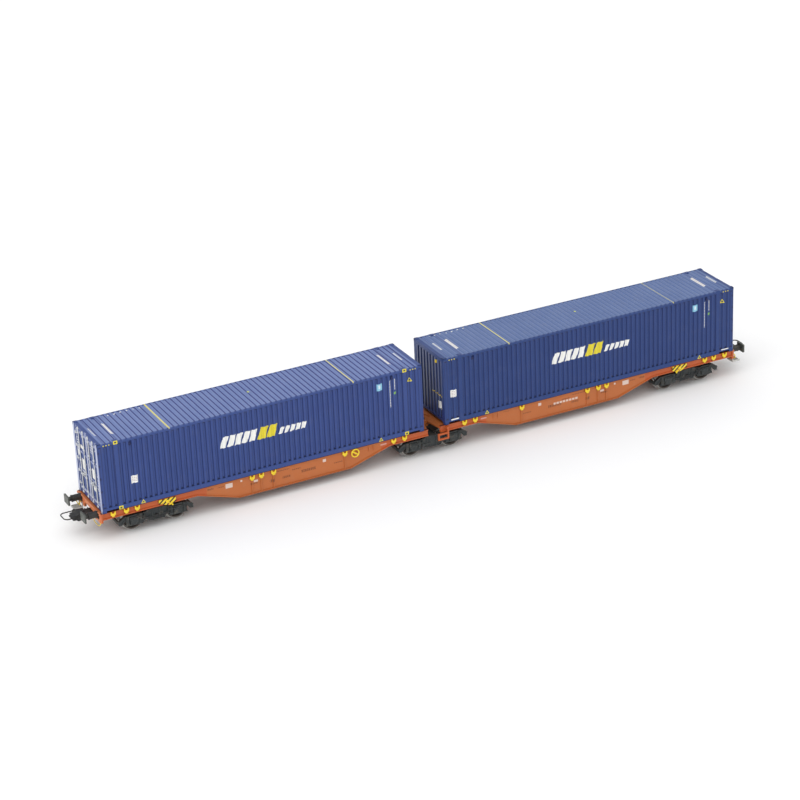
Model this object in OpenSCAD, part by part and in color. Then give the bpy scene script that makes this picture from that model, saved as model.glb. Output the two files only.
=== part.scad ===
// Model of an articulated container flat wagon at 1:87, loaded with two long containers.
// Two half wagons share the bogie in the middle and each has a bogie of its own further out.
// X runs along the wagon, Y across it and Z up. The origin is the middle of the footprint,
// level with the lowest points of the wheel flanges.
// A half wagon is drawn once, with its length running out from the middle along +X, and end b
// is that drawing. End a is the same half turned half a turn about Z.

/* [Half wagon] */
// From the middle pivot to the outer face of the headstock
half_len = 164; // [158:0.5:170]
// From the outer bogie's pivot to the outer face of the headstock
pivot_overhang = 26.1; // [25:0.1:28]
// Height of the side sills' tops above the rail
deck_h = 13.1; // [12.8:0.1:14]
// Width over the side sills
sill_w = 28; // [27:0.1:29]
// Depth of a side sill over the bogies
sill_depth = 3.2; // [2.8:0.1:3.4]
// Depth of a side sill between the bogies
belly_depth = 9.4; // [7:0.1:10.5]
// Length over which a side sill deepens
belly_taper = 20; // [14:0.5:26]
// Thickness of a sill's upright web
web_t = 0.8; // [0.6:0.1:1.2]
// Thickness of a sill's top and bottom flanges
flange_t = 0.5; // [0.4:0.1:0.8]
// How far a flange stands out beyond the web
flange_out = 0.5; // [0.3:0.1:0.8]
// Width of the beam along the middle
spine_w = 5.2; // [4:0.1:7]
// Depth of the beam along the middle
spine_depth = 6; // [4:0.1:7]
// Number of cross beams between the bogies
cross_count = 6; // [5:1:9]
// Thickness of the deck plates over the bogies
deck_t = 0.8; // [0.6:0.1:0.8]
// Thickness of the headstock
headstock_t = 0.9; // [0.7:0.1:1.4]
// Depth of the headstock at its two sides
headstock_depth = 5; // [4:0.1:6]

/* [Containers] */
// Length of a container
container_len = 157.66; // [150:0.01:160]
// Width of a container
container_w = 28.74; // [28:0.01:29.5]
// Height of a container
container_h = 33.29; // [29:0.01:34]
// From a container's outer end to the outer face of the headstock
container_lead = 0.84; // [0.5:0.01:3]
// Thickness of a container's walls
wall_t = 1.1; // [0.8:0.1:1.4]
// Depth of the pressed ribs in the walls
rib_depth = 0.42; // [0.2:0.01:0.6]
// Spacing of the ribs in the side walls and roof, as near as fits
rib_pitch = 2.49; // [2:0.01:3.5]
// Height of the bottom side rails
bottom_rail_h = 2; // [1.5:0.1:2.6]
// Height of the top side rails
top_rail_h = 0.8; // [0.6:0.1:1.4]
// Side of a square corner post
post_w = 2; // [1.6:0.1:2.4]
// Length of a corner casting
casting_l = 2.05; // [1.9:0.01:2.3]
// Height of a corner casting
casting_h = 1.36; // [1.2:0.01:1.6]
// From a container's end to the middle posts nearest to it
inner_post_inset = 8.76; // [7:0.01:12]

/* [Bogies] */
// Distance between a bogie's axles
wheelbase = 20.7; // [19.5:0.1:22.5]
// Diameter of a wheel's tread
tread_d = 10.5; // [9.8:0.1:10.7]
// Height of a wheel's flange
flange_h = 0.9; // [0.7:0.05:1]
// Width of a wheel
wheel_w = 2.8; // [2.4:0.1:2.9]
// Distance between the backs of an axle's wheels
back_to_back = 14.4; // [14.2:0.1:14.6]
// Diameter of an axle
axle_d = 2; // [1.6:0.1:2.4]
// Diameter of an axle's journals
journal_d = 1.2; // [1:0.1:1.6]
// Thickness of a bogie's side frames
side_frame_t = 1.3; // [1:0.1:1.4]
// From an axle to the end of a bogie
frame_overhang = 7.3; // [7:0.1:8]
// Diameter of the middle bogie's pivot pin
middle_pin_d = 4; // [3:0.1:5]
// Diameter of an outer bogie's pivot pin
outer_pin_d = 3; // [2:0.1:3.6]

/* [Couplers and buffers] */
// Distance from one buffer's middle to the other's
buffer_spacing = 20.1; // [19:0.1:21]
// Height of the buffers' middles above the rail
buffer_h = 11.8; // [11:0.1:12]
// Length of a buffer
buffer_len = 7; // [6:0.1:8]
// Width of a buffer's face
buffer_face_w = 5.5; // [4:0.1:6]
// Height of a buffer's face
buffer_face_h = 4; // [3:0.1:5]
// Height of the coupler's middle above the rail
coupler_h = 8.5; // [8:0.1:8.8]
// From a coupler's pivot to the outer face of the headstock
coupler_inset = 7; // [6:0.1:8]
// Width of the loop that drops over the next coupler's hook
bail_w = 7.6; // [6.8:0.1:8]
// Length of that loop beyond its pivot
bail_len = 7; // [6.8:0.1:7.5]
// Thickness of the loop's wire
bail_t = 0.6; // [0.5:0.05:0.8]

/* [Clearances] */
// Gap between a journal or a pin and its bore, on the radius
bore_gap = 0.05; // [0.02:0.01:0.09]
// Gap between a moving piece and what it passes over
pass_gap = 0.3; // [0.2:0.05:0.6]

/* [Hidden] */
$fn = 48;

frame_orange = [0.78, 0.30, 0.13];
container_blue = [0.20, 0.30, 0.58];
roof_blue = [0.36, 0.42, 0.68];
safety_yellow = [0.93, 0.80, 0.22];
bogie_grey = [0.20, 0.22, 0.22];
wheel_grey = [0.35, 0.35, 0.34];
coupler_black = [0.13, 0.13, 0.13];
step_grey = [0.78, 0.78, 0.76];

// Heights, from the bottoms of the flanges
axle_z = tread_d / 2 + flange_h;
flange_top = 2 * axle_z;
deck_top = flange_h + deck_h;
thin_z = deck_top - sill_depth;
belly_z = deck_top - belly_depth;
plate_bottom = flange_top + 1.33 * pass_gap;
plate_top = plate_bottom + deck_t;
buffer_z = flange_h + buffer_h;
coupler_z = flange_h + coupler_h;
load_top = deck_top + container_h;

// Places along a half wagon
pivot_x = half_len - pivot_overhang;
bogie_half = wheelbase / 2 + frame_overhang;
sill_in = 3.2;
sill_out = half_len - headstock_t;
belly_in = bogie_half + 5.3;
belly_out = pivot_x - bogie_half - 1.9;
headstock_in = half_len - headstock_t;
container_out = half_len - container_lead;
container_in = container_out - container_len;
coupler_x = half_len - coupler_inset;

// Places across the wagon
flange_edge = sill_w / 2;
web_out = flange_edge - flange_out;
web_in = web_out - web_t;
load_edge = container_w / 2;
wheel_out = back_to_back / 2 + wheel_w;
side_frame_in = wheel_out + 1;
side_frame_out = side_frame_in + side_frame_t;
axlebox_out = side_frame_out + 0.9;
journal_end = axlebox_out - 0.6;

// Turns the drawing of a half wagon round to end a
module at_end_a() rotate([0, 0, 180]) children();

// Stands an outline drawn in length and height across the wagon, from v0 to v1
module across(v0, v1) translate([0, v1, 0]) rotate([90, 0, 0]) linear_extrude(v1 - v0) children();

// A box given by its low and high corners
module span(low, high) translate(low) cube(high - low);

// ---- Side sills ----

// Height of a side sill's bottom edge at each place where it changes
function belly_edge(rise) = [
    [sill_in, thin_z + rise], [belly_in, thin_z + rise],
    [belly_in + belly_taper, belly_z + rise], [belly_out - belly_taper, belly_z + rise],
    [belly_out, thin_z + rise], [sill_out, thin_z + rise]];

function reversed(points) = [for (i = [len(points) - 1:-1:0]) points[i]];

// Where the lashing spigots stand, from the middle pivot and from the headstock
spigots_in = [15.6, 21.2, 46];
spigots_out = [5.6, 11.8, 16.9, 72, 76.5, 82.5];
spigot_xs = [each spigots_in, each [for (d = spigots_out) half_len - d]];
spigot_w = 2.4;
spigot_t = 0.7;
spigot_h = 2.3;
prong_h = 0.7;
rib_t = 0.5;
rib_back = 0.1;
gusset_lead = 8;
gusset_gap = 2.4;

// The left side's sill; the right one is its mirror image
module side_sill() {
    across(web_in, web_out)
        polygon(concat(belly_edge(0), [[sill_out, deck_top], [sill_in, deck_top]]));
    across(web_in, flange_edge)
        polygon(concat(belly_edge(0), reversed(belly_edge(flange_t))));
    span([sill_in, web_in - flange_out, deck_top - flange_t], [sill_out, flange_edge, deck_top]);
    // Ribs under the spigots on the deep part
    for (x = spigot_xs)
        if (x > belly_in + belly_taper && x < belly_out - belly_taper)
            span([x - rib_t / 2, web_in, belly_z], [x + rib_t / 2, flange_edge - rib_back, deck_top]);
    // A pair of gussets where the sill deepens
    for (x = [belly_in + gusset_lead, belly_in + gusset_lead + gusset_gap])
        span([x, web_in, thin_z], [x + rib_t, flange_edge - rib_back, deck_top]);
}

module left_sill() color(frame_orange) side_sill();
module right_sill() color(frame_orange) mirror([0, 1, 0]) side_sill();

// ---- Middle of the frame ----

spine_top = plate_top;
spine_bottom = spine_top - spine_depth;
spine_in = belly_in - 2;
spine_out = belly_out;
cross_t = 1;
cross_lift = 1.6;
cross_first = belly_in + 3;
cross_last = belly_out - 3;
cross_step = (cross_last - cross_first) / (cross_count - 1);
function cross_x(i) = cross_first + i * cross_step;

module centre_sill() color(frame_orange)
    difference() {
        span([spine_in, -spine_w / 2, spine_bottom], [spine_out, spine_w / 2, spine_top]);
        // Open underneath, like a folded trough
        span([spine_in + web_t, web_t - spine_w / 2, spine_bottom - 1],
             [spine_out - web_t, spine_w / 2 - web_t, spine_top - web_t]);
    }

// Height of the side sills' lower edge at x, which rises towards both ends of the deep part
function belly_at(x) =
    thin_z - (thin_z - belly_z) * min(1, (x - belly_in) / belly_taper, (belly_out - x) / belly_taper);

module cross_beams() color(frame_orange)
    for (i = [0:cross_count - 1], side = [-1, 1]) mirror([0, side < 0 ? 1 : 0, 0])
        span([cross_x(i) - cross_t / 2, spine_w / 2, belly_at(cross_x(i)) + cross_lift],
             [cross_x(i) + cross_t / 2, web_in, spine_top]);

// ---- Decks over the bogies, with the pivots ----

ring_d = middle_pin_d + 4;
ring_t = 1.2;
middle_bolster_top = plate_top - 2 * ring_t - 2 * pass_gap - 0.3;
lower_ring_z = middle_bolster_top + pass_gap;
upper_ring_z = lower_ring_z + ring_t + pass_gap;
front_lead = 0.35;
front_slope = 0.2;
tongue_w = 5.6;
tongue_end = 8;
inner_deck_out = spine_in;

// End a carries the lower ring and end b the upper one, and both turn on the middle bogie's pin
module inner_deck(half) {
    ring_z = half == "a" ? lower_ring_z : upper_ring_z;
    color(frame_orange) difference() {
        union() {
            difference() {
                translate([0, 0, plate_bottom]) linear_extrude(deck_t) polygon([
                    [front_lead, 0], [front_lead + front_slope * web_in, -web_in],
                    [inner_deck_out, -web_in], [inner_deck_out, web_in],
                    [front_lead + front_slope * web_in, web_in]]);
                translate([0, 0, plate_bottom - 1]) cylinder(d = ring_d + 2 * pass_gap, h = deck_t + 2);
            }
            translate([0, 0, ring_z]) cylinder(d = ring_d, h = ring_t);
            span([ring_d / 4, -tongue_w / 2, ring_z], [tongue_end, tongue_w / 2, ring_z + ring_t]);
            span([ring_d / 2 + 1, -tongue_w / 2, min(ring_z, plate_bottom)],
                 [tongue_end, tongue_w / 2, plate_top]);
        }
        translate([0, 0, ring_z - 1])
            cylinder(d = middle_pin_d + 2 * bore_gap, h = ring_t + 2);
    }
}

bolster_boss_d = 8;
boss_drop = 1.1;
outer_bolster_top = plate_bottom - boss_drop - pass_gap;
outer_pin_top = plate_top - 0.5;
coupler_pin_d = 2;
coupler_collar = 1.6;
coupler_t = 1.6;
coupler_eye_bottom = coupler_z - coupler_t / 2;

module outer_deck() color(frame_orange) {
    difference() {
        union() {
            span([spine_out, -web_in, plate_bottom], [headstock_in, web_in, plate_top]);
            translate([pivot_x, 0, outer_bolster_top + pass_gap])
                cylinder(d = bolster_boss_d, h = boss_drop);
        }
        translate([pivot_x, 0, outer_bolster_top - 1])
            cylinder(d = outer_pin_d + 2 * bore_gap, h = outer_pin_top + 0.2 - outer_bolster_top + 1);
    }
    // Pin and collar that the coupler swings on
    translate([coupler_x, 0, coupler_eye_bottom - pass_gap])
        cylinder(d = coupler_pin_d, h = plate_bottom - coupler_eye_bottom + pass_gap);
    translate([coupler_x, 0, coupler_eye_bottom + coupler_t + pass_gap])
        cylinder(d = coupler_pin_d + coupler_collar,
                 h = plate_bottom - coupler_eye_bottom - coupler_t - pass_gap);
}

// ---- Headstock and buffers ----

// The headstock's lower edge is cut up in the middle, over the coupler
mouth_w = 11;
mouth_top = deck_top - 2.4;
corner_cut = 0.6;
headstock_bottom = deck_top - headstock_depth;
module headstock() color(frame_orange)
    translate([headstock_in, 0, 0]) rotate([90, 0, 90]) linear_extrude(headstock_t) polygon([
        [-flange_edge, deck_top], [-flange_edge, headstock_bottom + corner_cut],
        [-flange_edge + 1, headstock_bottom], [-mouth_w / 2 - 1, headstock_bottom],
        [-mouth_w / 2, mouth_top], [mouth_w / 2, mouth_top],
        [mouth_w / 2 + 1, headstock_bottom], [flange_edge - 1, headstock_bottom],
        [flange_edge, headstock_bottom + corner_cut], [flange_edge, deck_top]]);

buffer_base = 3.6;
buffer_base_t = 0.5;
buffer_sleeve_d = 2.9;
buffer_rod_d = 2.1;
buffer_face_t = 0.7;
buffer_face_round = 1;
module buffer() translate([half_len, 0, buffer_z]) {
    span([0, -buffer_base / 2, -buffer_base / 2], [buffer_base_t, buffer_base / 2, 0.9]);
    rotate([0, 90, 0]) cylinder(d = buffer_sleeve_d, h = buffer_len * 0.62);
    rotate([0, 90, 0]) cylinder(d = buffer_rod_d, h = buffer_len - 0.2);
    translate([buffer_len - buffer_face_t, 0, 0]) rotate([90, 0, 90]) linear_extrude(buffer_face_t)
        intersection() {
            square([buffer_face_w, buffer_face_h], center = true);
            circle(d = buffer_face_w + buffer_face_round);
        }
}

module buffers() color(coupler_black)
    for (side = [-1, 1]) translate([0, side * buffer_spacing / 2, 0]) buffer();

// ---- Small fittings on the sills ----

module spigots() color(safety_yellow)
    for (x = spigot_xs, side = [-1, 1])
        mirror([0, side < 0 ? 1 : 0, 0]) {
            span([x - spigot_w / 2, flange_edge, deck_top - spigot_h],
                 [x + spigot_w / 2, flange_edge + spigot_t, deck_top - prong_h]);
            for (prong = [-spigot_w / 2, spigot_w / 4])
                span([x + prong, flange_edge, deck_top - prong_h],
                     [x + prong + spigot_w / 4, flange_edge + spigot_t, deck_top]);
        }

panel_in = pivot_x - 9;
panel_len = 8;
panel_t = 0.4;
panel_bottom = thin_z - 0.5;
module changeover_panels() color(safety_yellow)
    for (side = [-1, 1]) mirror([0, side < 0 ? 1 : 0, 0])
        across(flange_edge, flange_edge + panel_t) polygon([
            [panel_in, deck_top - 0.4], [panel_in, thin_z + 0.8], [panel_in + 1.6, panel_bottom + 0.3],
            [panel_in + 3, panel_bottom], [panel_in + 4.4, panel_bottom + 0.3],
            [panel_in + panel_len, thin_z + 1.2], [panel_in + panel_len, deck_top - 0.4]]);

hand_ring_d = 4.2;
hand_wire_d = 0.6;
hand_hub_d = 0.9;
hand_lead = 1;
hand_lean = 35;
hand_x = belly_in + 18;
hand_z = deck_top - 1.9;
module handbrake_wheel() color(safety_yellow)
    translate([hand_x, flange_edge + hand_lead, hand_z]) rotate([90, 0, 0]) {
        rotate_extrude() translate([(hand_ring_d - hand_wire_d) / 2, hand_wire_d / 2])
            circle(d = hand_wire_d, $fn = 16);
        rotate([0, 0, hand_lean]) translate([-hand_ring_d / 2 + 0.2, -hand_wire_d / 2, 0.05])
            cube([hand_ring_d - 0.4, hand_wire_d, hand_wire_d - 0.1]);
        cylinder(d = hand_hub_d, h = hand_lead + flange_out);
    }

tank_d = 4.4;
tank_v = (web_in + spine_w / 2) / 2;
tank_bay = 2;
module air_tank() color(bogie_grey)
    translate([cross_x(tank_bay) + cross_t / 2, -tank_v, spine_bottom + tank_d / 2])
        rotate([0, 90, 0]) cylinder(d = tank_d, h = cross_step - cross_t);

// A hanging step in the shape of a frame beside the middle pivot, on the right side
loop_bar = 0.75;
loop_out = flange_edge + 1.5;
loop_x = 6.8;
loop_len = 5.6;
loop_bottom = deck_top - 6.4;
loop_top = deck_top - 3.1;
module loop_step() color(frame_orange) mirror([0, 1, 0]) {
    span([loop_x - 1, flange_edge, deck_top - 1.2], [loop_x, loop_out, deck_top - 0.4]);
    span([loop_x - 0.8, loop_out - loop_bar, loop_bottom], [loop_x, loop_out, deck_top - 0.4]);
    difference() {
        span([loop_x - loop_len, loop_out - loop_bar, loop_bottom], [loop_x, loop_out, loop_top]);
        span([loop_x - loop_len + loop_bar, loop_out - 2, loop_bottom + loop_bar],
             [loop_x - 0.8, loop_out + 1, loop_top - loop_bar]);
    }
}

// A shunter's step under the right-hand buffer
step_in = half_len;
step_len = 4.2;
step_v = [8.4, 13];
step_bottom = deck_top - 6.8;
step_t = 0.5;
module end_step() color(step_grey) mirror([0, 1, 0]) {
    span([step_in, step_v[0], step_bottom], [step_in + step_len, step_v[1], step_bottom + step_t]);
    for (v = [step_v[0], step_v[1] - step_t])
        span([step_in, v, step_bottom], [step_in + step_t, v + step_t, headstock_bottom + 1.4]);
}

// ---- Container ----

// One rib's corners, starting at x: along the crest, down, along the trough and up again
function rib(x, pitch, depth) = [
    [x, 0], [x + 0.44 * pitch, 0], [x + 0.56 * pitch, -depth], [x + 0.88 * pitch, -depth]];

// A ribbed sheet's outline from x0 to x1: ribs on its face at y = 0, flat at its back
function ribbed(x0, x1, pitch, depth, thick) =
    let (n = round((x1 - x0) / pitch), p = (x1 - x0) / (n + 0.44))
    [each [for (i = [0:n - 1]) each rib(x0 + i * p, p, depth)],
     [x0 + n * p, 0], [x1, 0], [x1, -thick], [x0, -thick]];

wall_in = container_in + post_w;
wall_out = container_out - post_w;
rail_bottom = deck_top + 0.3;
rail_top = rail_bottom + bottom_rail_h;
end_rail_bottom = rail_bottom + 0.8;
roof_drop = 0.1;
roof_t = 0.6;
roof_under = load_top - roof_drop - roof_t;
panel_top = roof_under - top_rail_h;
sheet_back = 0.1;
rail_in = load_edge - wall_t - 0.2;
short_rib = 1.35;
casting_w = 1.86;
inner_posts = [container_in + inner_post_inset, container_out - inner_post_inset];
inner_post_w = 1.9;

// A ribbed sheet of a side wall from x0 to x1
module wall_sheet(x0, x1, pitch) translate([0, load_edge - sheet_back, rail_top])
    linear_extrude(panel_top - rail_top) polygon(ribbed(x0, x1, pitch, rib_depth, wall_t));

module side_wall() {
    // Rails along the bottom, higher at both ends, and along the top
    span([wall_in, rail_in, end_rail_bottom], [wall_out, load_edge, rail_top]);
    span([inner_posts[0], rail_in, rail_bottom], [inner_posts[1], load_edge, rail_top]);
    span([wall_in, rail_in, panel_top], [wall_out, load_edge, roof_under]);
    // Ribbed sheets: the long one and a short one at each end
    wall_sheet(wall_in, inner_posts[0], short_rib * rib_pitch);
    wall_sheet(inner_posts[0], inner_posts[1], rib_pitch);
    wall_sheet(inner_posts[1], wall_out, short_rib * rib_pitch);
    // The posts that a shorter container would have at its ends
    for (x = inner_posts) {
        span([x - inner_post_w / 2, rail_in, rail_bottom],
             [x + inner_post_w / 2, load_edge, load_top - casting_h]);
        span([x - casting_l / 2, load_edge - casting_w, load_top - casting_h],
             [x + casting_l / 2, load_edge, load_top]);
    }
}

module container_left_wall() color(container_blue) side_wall();
module container_right_wall() color(container_blue) mirror([0, 1, 0]) side_wall();

sheet_w = container_w - 2 * post_w;
header_bottom = panel_top - 0.4;
header_top = load_top - roof_drop;
front_rib = 1.25;
front_depth = 1.8;
front_t = wall_t + 0.3;
module container_front_wall() color(container_blue) {
    span([container_in, -sheet_w / 2, end_rail_bottom], [container_in + post_w, sheet_w / 2, rail_top]);
    span([container_in, -sheet_w / 2, header_bottom], [container_in + post_w, sheet_w / 2, header_top]);
    translate([container_in + sheet_back, 0, rail_top]) linear_extrude(header_bottom - rail_top)
        rotate([0, 0, 90]) polygon(ribbed(-sheet_w / 2, sheet_w / 2, front_rib * rib_pitch,
                                          front_depth * rib_depth, front_t));
}

door_gap = 0.15;
door_t = 1;
door_edge = 0.9;
door_relief = 0.15;
door_face = container_out - 0.65;
door_sill_out = container_out - 0.3;
band_h = 1.2;
band_first = rail_top + 0.2;
band_step = (panel_top - rail_top - 2.2) / 3;
lock_bar_d = 0.5;
lock_bar_lead = 0.35;
lock_bar_end = 0.4;
lock_bars = [3.1, 8.6];
keeper_w = 1;
keeper_h = 0.8;
keeper_zs = [rail_top + 0.3, rail_top + 9, rail_top + 19, panel_top - 1.4];
module door() {
    span([door_face - door_t, door_gap / 2, rail_top], [door_face, sheet_w / 2, header_bottom]);
    // Raised edge around the leaf and four bands across it
    for (v = [door_gap / 2, sheet_w / 2 - door_edge])
        span([door_face - door_t, v, rail_top], [door_face + door_relief, v + door_edge, header_bottom]);
    for (z = [for (k = [0:3]) band_first + k * band_step])
        span([door_face - door_t, door_gap / 2, z], [door_face + door_relief, sheet_w / 2, z + band_h]);
    // Locking bars in their keepers
    for (v = lock_bars) {
        translate([door_face + lock_bar_lead, v, rail_bottom + lock_bar_end])
            cylinder(d = lock_bar_d, h = header_top - rail_bottom - 2 * lock_bar_end, $fn = 16);
        for (z = keeper_zs)
            span([door_face - 0.1, v - keeper_w / 2, z],
                 [door_face + lock_bar_lead + 0.1, v + keeper_w / 2, z + keeper_h]);
    }
}
module container_doors() color(container_blue) {
    span([container_out - post_w, -sheet_w / 2, rail_bottom], [door_sill_out, sheet_w / 2, rail_top]);
    span([container_out - post_w, -sheet_w / 2, header_bottom], [door_sill_out, sheet_w / 2, header_top]);
    for (side = [-1, 1]) mirror([0, side < 0 ? 1 : 0, 0]) door();
}

roof_rib = 0.3;
module container_roof() color(roof_blue) difference() {
    across(-load_edge, load_edge) translate([0, load_top - roof_drop])
        polygon(ribbed(wall_in, wall_out, rib_pitch, roof_rib, roof_t));
    // Notches for the castings on the middle posts
    for (x = inner_posts, side = [-1, 1]) mirror([0, side < 0 ? 1 : 0, 0])
        span([x - casting_l / 2, load_edge - casting_w, roof_under - 1],
             [x + casting_l / 2, load_edge + 1, load_top + 1]);
}

floor_t = 0.8;
floor_bottom = end_rail_bottom + 0.1;
module container_floor() color(bogie_grey)
    span([wall_in, -rail_in, floor_bottom], [wall_out, rail_in, floor_bottom + floor_t]);

module container_posts() color(container_blue)
    for (x = [container_in, container_out - post_w], side = [-1, 1])
        mirror([0, side < 0 ? 1 : 0, 0])
            span([x, load_edge - post_w, deck_top], [x + post_w, load_edge, load_top]);

// ---- Coupler with its loop ----

coupler_eye_d = coupler_pin_d + 2.2;
arm_w = 2.2;
head_in = half_len + 2.4;
head_out = half_len + 7.4;
head_w = bail_w - 2 * bail_t - 1;
bail_x = half_len + 6.2;
bail_z = coupler_z + 0.7;
bail_pin_d = 0.7;
hook_out = head_out + 0.5;

module coupler() color(coupler_black) {
    difference() {
        union() {
            translate([coupler_x, 0, coupler_eye_bottom]) cylinder(d = coupler_eye_d, h = coupler_t);
            span([coupler_x + coupler_pin_d / 2 - 0.5, -arm_w / 2, coupler_eye_bottom],
                 [head_in + 0.5, arm_w / 2, coupler_eye_bottom + coupler_t]);
        }
        translate([coupler_x, 0, coupler_eye_bottom - 1])
            cylinder(d = coupler_pin_d + 2 * bore_gap, h = coupler_t + 2);
    }
    across(-head_w / 2, head_w / 2) polygon([
        [head_in, coupler_z - 1.4], [head_out - 1, coupler_z - 1.9], [head_out, coupler_z - 1.2],
        [head_out, coupler_z + 0.9], [head_out - 1.6, coupler_z + 1.6], [head_in, coupler_z + 1.3]]);
    across(-0.7, 0.7) polygon([
        [head_out - 0.2, coupler_z - 1.2], [hook_out, coupler_z - 0.6], [hook_out, coupler_z + 0.5],
        [hook_out - 0.5, coupler_z + 0.5], [head_out - 0.2, coupler_z - 0.2]]);
    translate([bail_x, bail_w / 2 + 0.1, bail_z]) rotate([90, 0, 0])
        cylinder(d = bail_pin_d, h = bail_w + 0.2, $fn = 24);
}

// Outline of the loop seen from above: straight arms, and a front with corners of radius r
module bail_outline(w, l, r) {
    translate([0, -w / 2]) square([l - r, w]);
    translate([0, r - w / 2]) square([l, w - 2 * r]);
    for (side = [-1, 1]) translate([l - r, side * (w / 2 - r)]) circle(r = r);
}
bail_corner = 2.2;
bail_eye_d = 1.5;
module bail() color(coupler_black) translate([bail_x, 0, bail_z]) difference() {
    union() {
        translate([0, 0, -bail_t / 2]) linear_extrude(bail_t) difference() {
            bail_outline(bail_w, bail_len, bail_corner);
            translate([-1, 0])
                bail_outline(bail_w - 2 * bail_t, bail_len - bail_t + 1, bail_corner - bail_t);
        }
        for (v = [-bail_w / 2 + bail_t, bail_w / 2])
            translate([0, v, 0]) rotate([90, 0, 0]) cylinder(d = bail_eye_d, h = bail_t, $fn = 24);
    }
    translate([0, bail_w, 0]) rotate([90, 0, 0])
        cylinder(d = bail_pin_d + 2 * bore_gap, h = 2 * bail_w, $fn = 24);
}

// ---- Bogies ----

frame_top = thin_z - 4 * pass_gap;
axlebox_w = 4.2;
spring_d = 1.7;
spring_x = 3.1;
bolster_w = 5.6;

// Side frame's outline: straight along the top, deep in the middle, a nose at each end
module side_frame_outline() polygon([
    [-bogie_half, axle_z - 1], [-bogie_half, axle_z + 0.9], [-bogie_half + 3, frame_top - 0.6],
    [-5, frame_top - 0.6], [-4, frame_top], [4, frame_top], [5, frame_top - 0.6],
    [bogie_half - 3, frame_top - 0.6], [bogie_half, axle_z + 0.9], [bogie_half, axle_z - 1],
    [bogie_half - 1.4, axle_z - 1], [wheelbase / 2 + 4.4, axle_z + 0.9],
    [wheelbase / 2 - 4.4, axle_z + 0.9], [3.6, axle_z - 1.9], [-3.6, axle_z - 1.9],
    [-wheelbase / 2 + 4.4, axle_z + 0.9], [-wheelbase / 2 - 4.4, axle_z + 0.9],
    [-bogie_half + 1.4, axle_z - 1]]);

module side_frame() difference() {
    union() {
        across(side_frame_in, side_frame_out) side_frame_outline();
        for (x = [-wheelbase / 2, wheelbase / 2]) {
            // Axlebox with a raised cover
            span([x - axlebox_w / 2, side_frame_in, axle_z - 1.9],
                 [x + axlebox_w / 2, axlebox_out - 0.3, axle_z + 2]);
            translate([x, axlebox_out, axle_z]) rotate([90, 0, 0]) cylinder(d = 2.8, h = 1);
            // Coil springs on both sides of it, standing on a seat
            for (s = [-spring_x, spring_x]) {
                translate([x + s, side_frame_out - 0.1, axle_z - 1.3])
                    cylinder(d = spring_d, h = frame_top - 1 - axle_z + 1.3, $fn = 24);
                span([x + s - 1.1, side_frame_in, axle_z - 1.9],
                     [x + s + 1.1, axlebox_out - 0.5, axle_z - 1.2]);
            }
        }
    }
    for (x = [-wheelbase / 2, wheelbase / 2])
        translate([x, journal_end + 0.2, axle_z]) rotate([90, 0, 0])
            cylinder(d = journal_d + 2 * bore_gap, h = journal_end + 0.2);
}

module bogie_frame(bolster_top, pin_d, pin_top) color(bogie_grey) {
    for (side = [-1, 1]) mirror([0, side < 0 ? 1 : 0, 0]) {
        side_frame();
        // Brake blocks hung beside the wheels
        for (x = [-1, 1])
            span([x > 0 ? bolster_w / 2 - 0.1 : -bolster_w / 2 - 0.9, wheel_out - 1.9, axle_z - 1.6],
                 [x > 0 ? bolster_w / 2 + 0.9 : -bolster_w / 2 + 0.1, wheel_out - 0.3, axle_z + 1.8]);
    }
    span([-bolster_w / 2, -side_frame_in, axle_z - 1.2], [bolster_w / 2, side_frame_in, frame_top - 0.8]);
    for (x = [-bogie_half, bogie_half - 0.7])
        span([x, -side_frame_in, axle_z - 1], [x + 0.7, side_frame_in, axle_z + 0.4]);
    translate([0, 0, axle_z - 1]) cylinder(d = bolster_w + 1.4, h = bolster_top - axle_z + 1);
    translate([0, 0, axle_z]) cylinder(d = pin_d, h = pin_top - axle_z);
}

module middle_bogie_frame() bogie_frame(middle_bolster_top, middle_pin_d, upper_ring_z + ring_t + 0.1);
module outer_bogie_frame()
    translate([pivot_x, 0, 0]) bogie_frame(outer_bolster_top, outer_pin_d, outer_pin_top);

// A wheel's section, from the axle out: disc, tread and flange, with the back at y = 0
module wheel_section() polygon([
    [0, 0], [tread_d / 2 + 0.35 * flange_h, 0], [tread_d / 2 + flange_h, 0.25],
    [tread_d / 2 + flange_h, 0.5], [tread_d / 2 + 0.1, 0.85], [tread_d / 2 - 0.02, wheel_w - 0.2],
    [tread_d / 2 - 0.25, wheel_w], [tread_d / 2 - 1, wheel_w], [tread_d / 2 - 1.3, wheel_w - 0.8],
    [1.9, wheel_w - 0.8], [1.6, wheel_w - 0.1], [0, wheel_w - 0.1]]);

module wheelset(x) color(wheel_grey) translate([x, 0, axle_z]) {
    for (side = [-1, 1]) rotate([side * -90, 0, 0]) translate([0, 0, back_to_back / 2])
        rotate_extrude() wheel_section();
    rotate([90, 0, 0]) cylinder(d = axle_d, h = back_to_back + 0.4, center = true);
    rotate([90, 0, 0]) cylinder(d = journal_d, h = 2 * journal_end, center = true);
}

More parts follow.
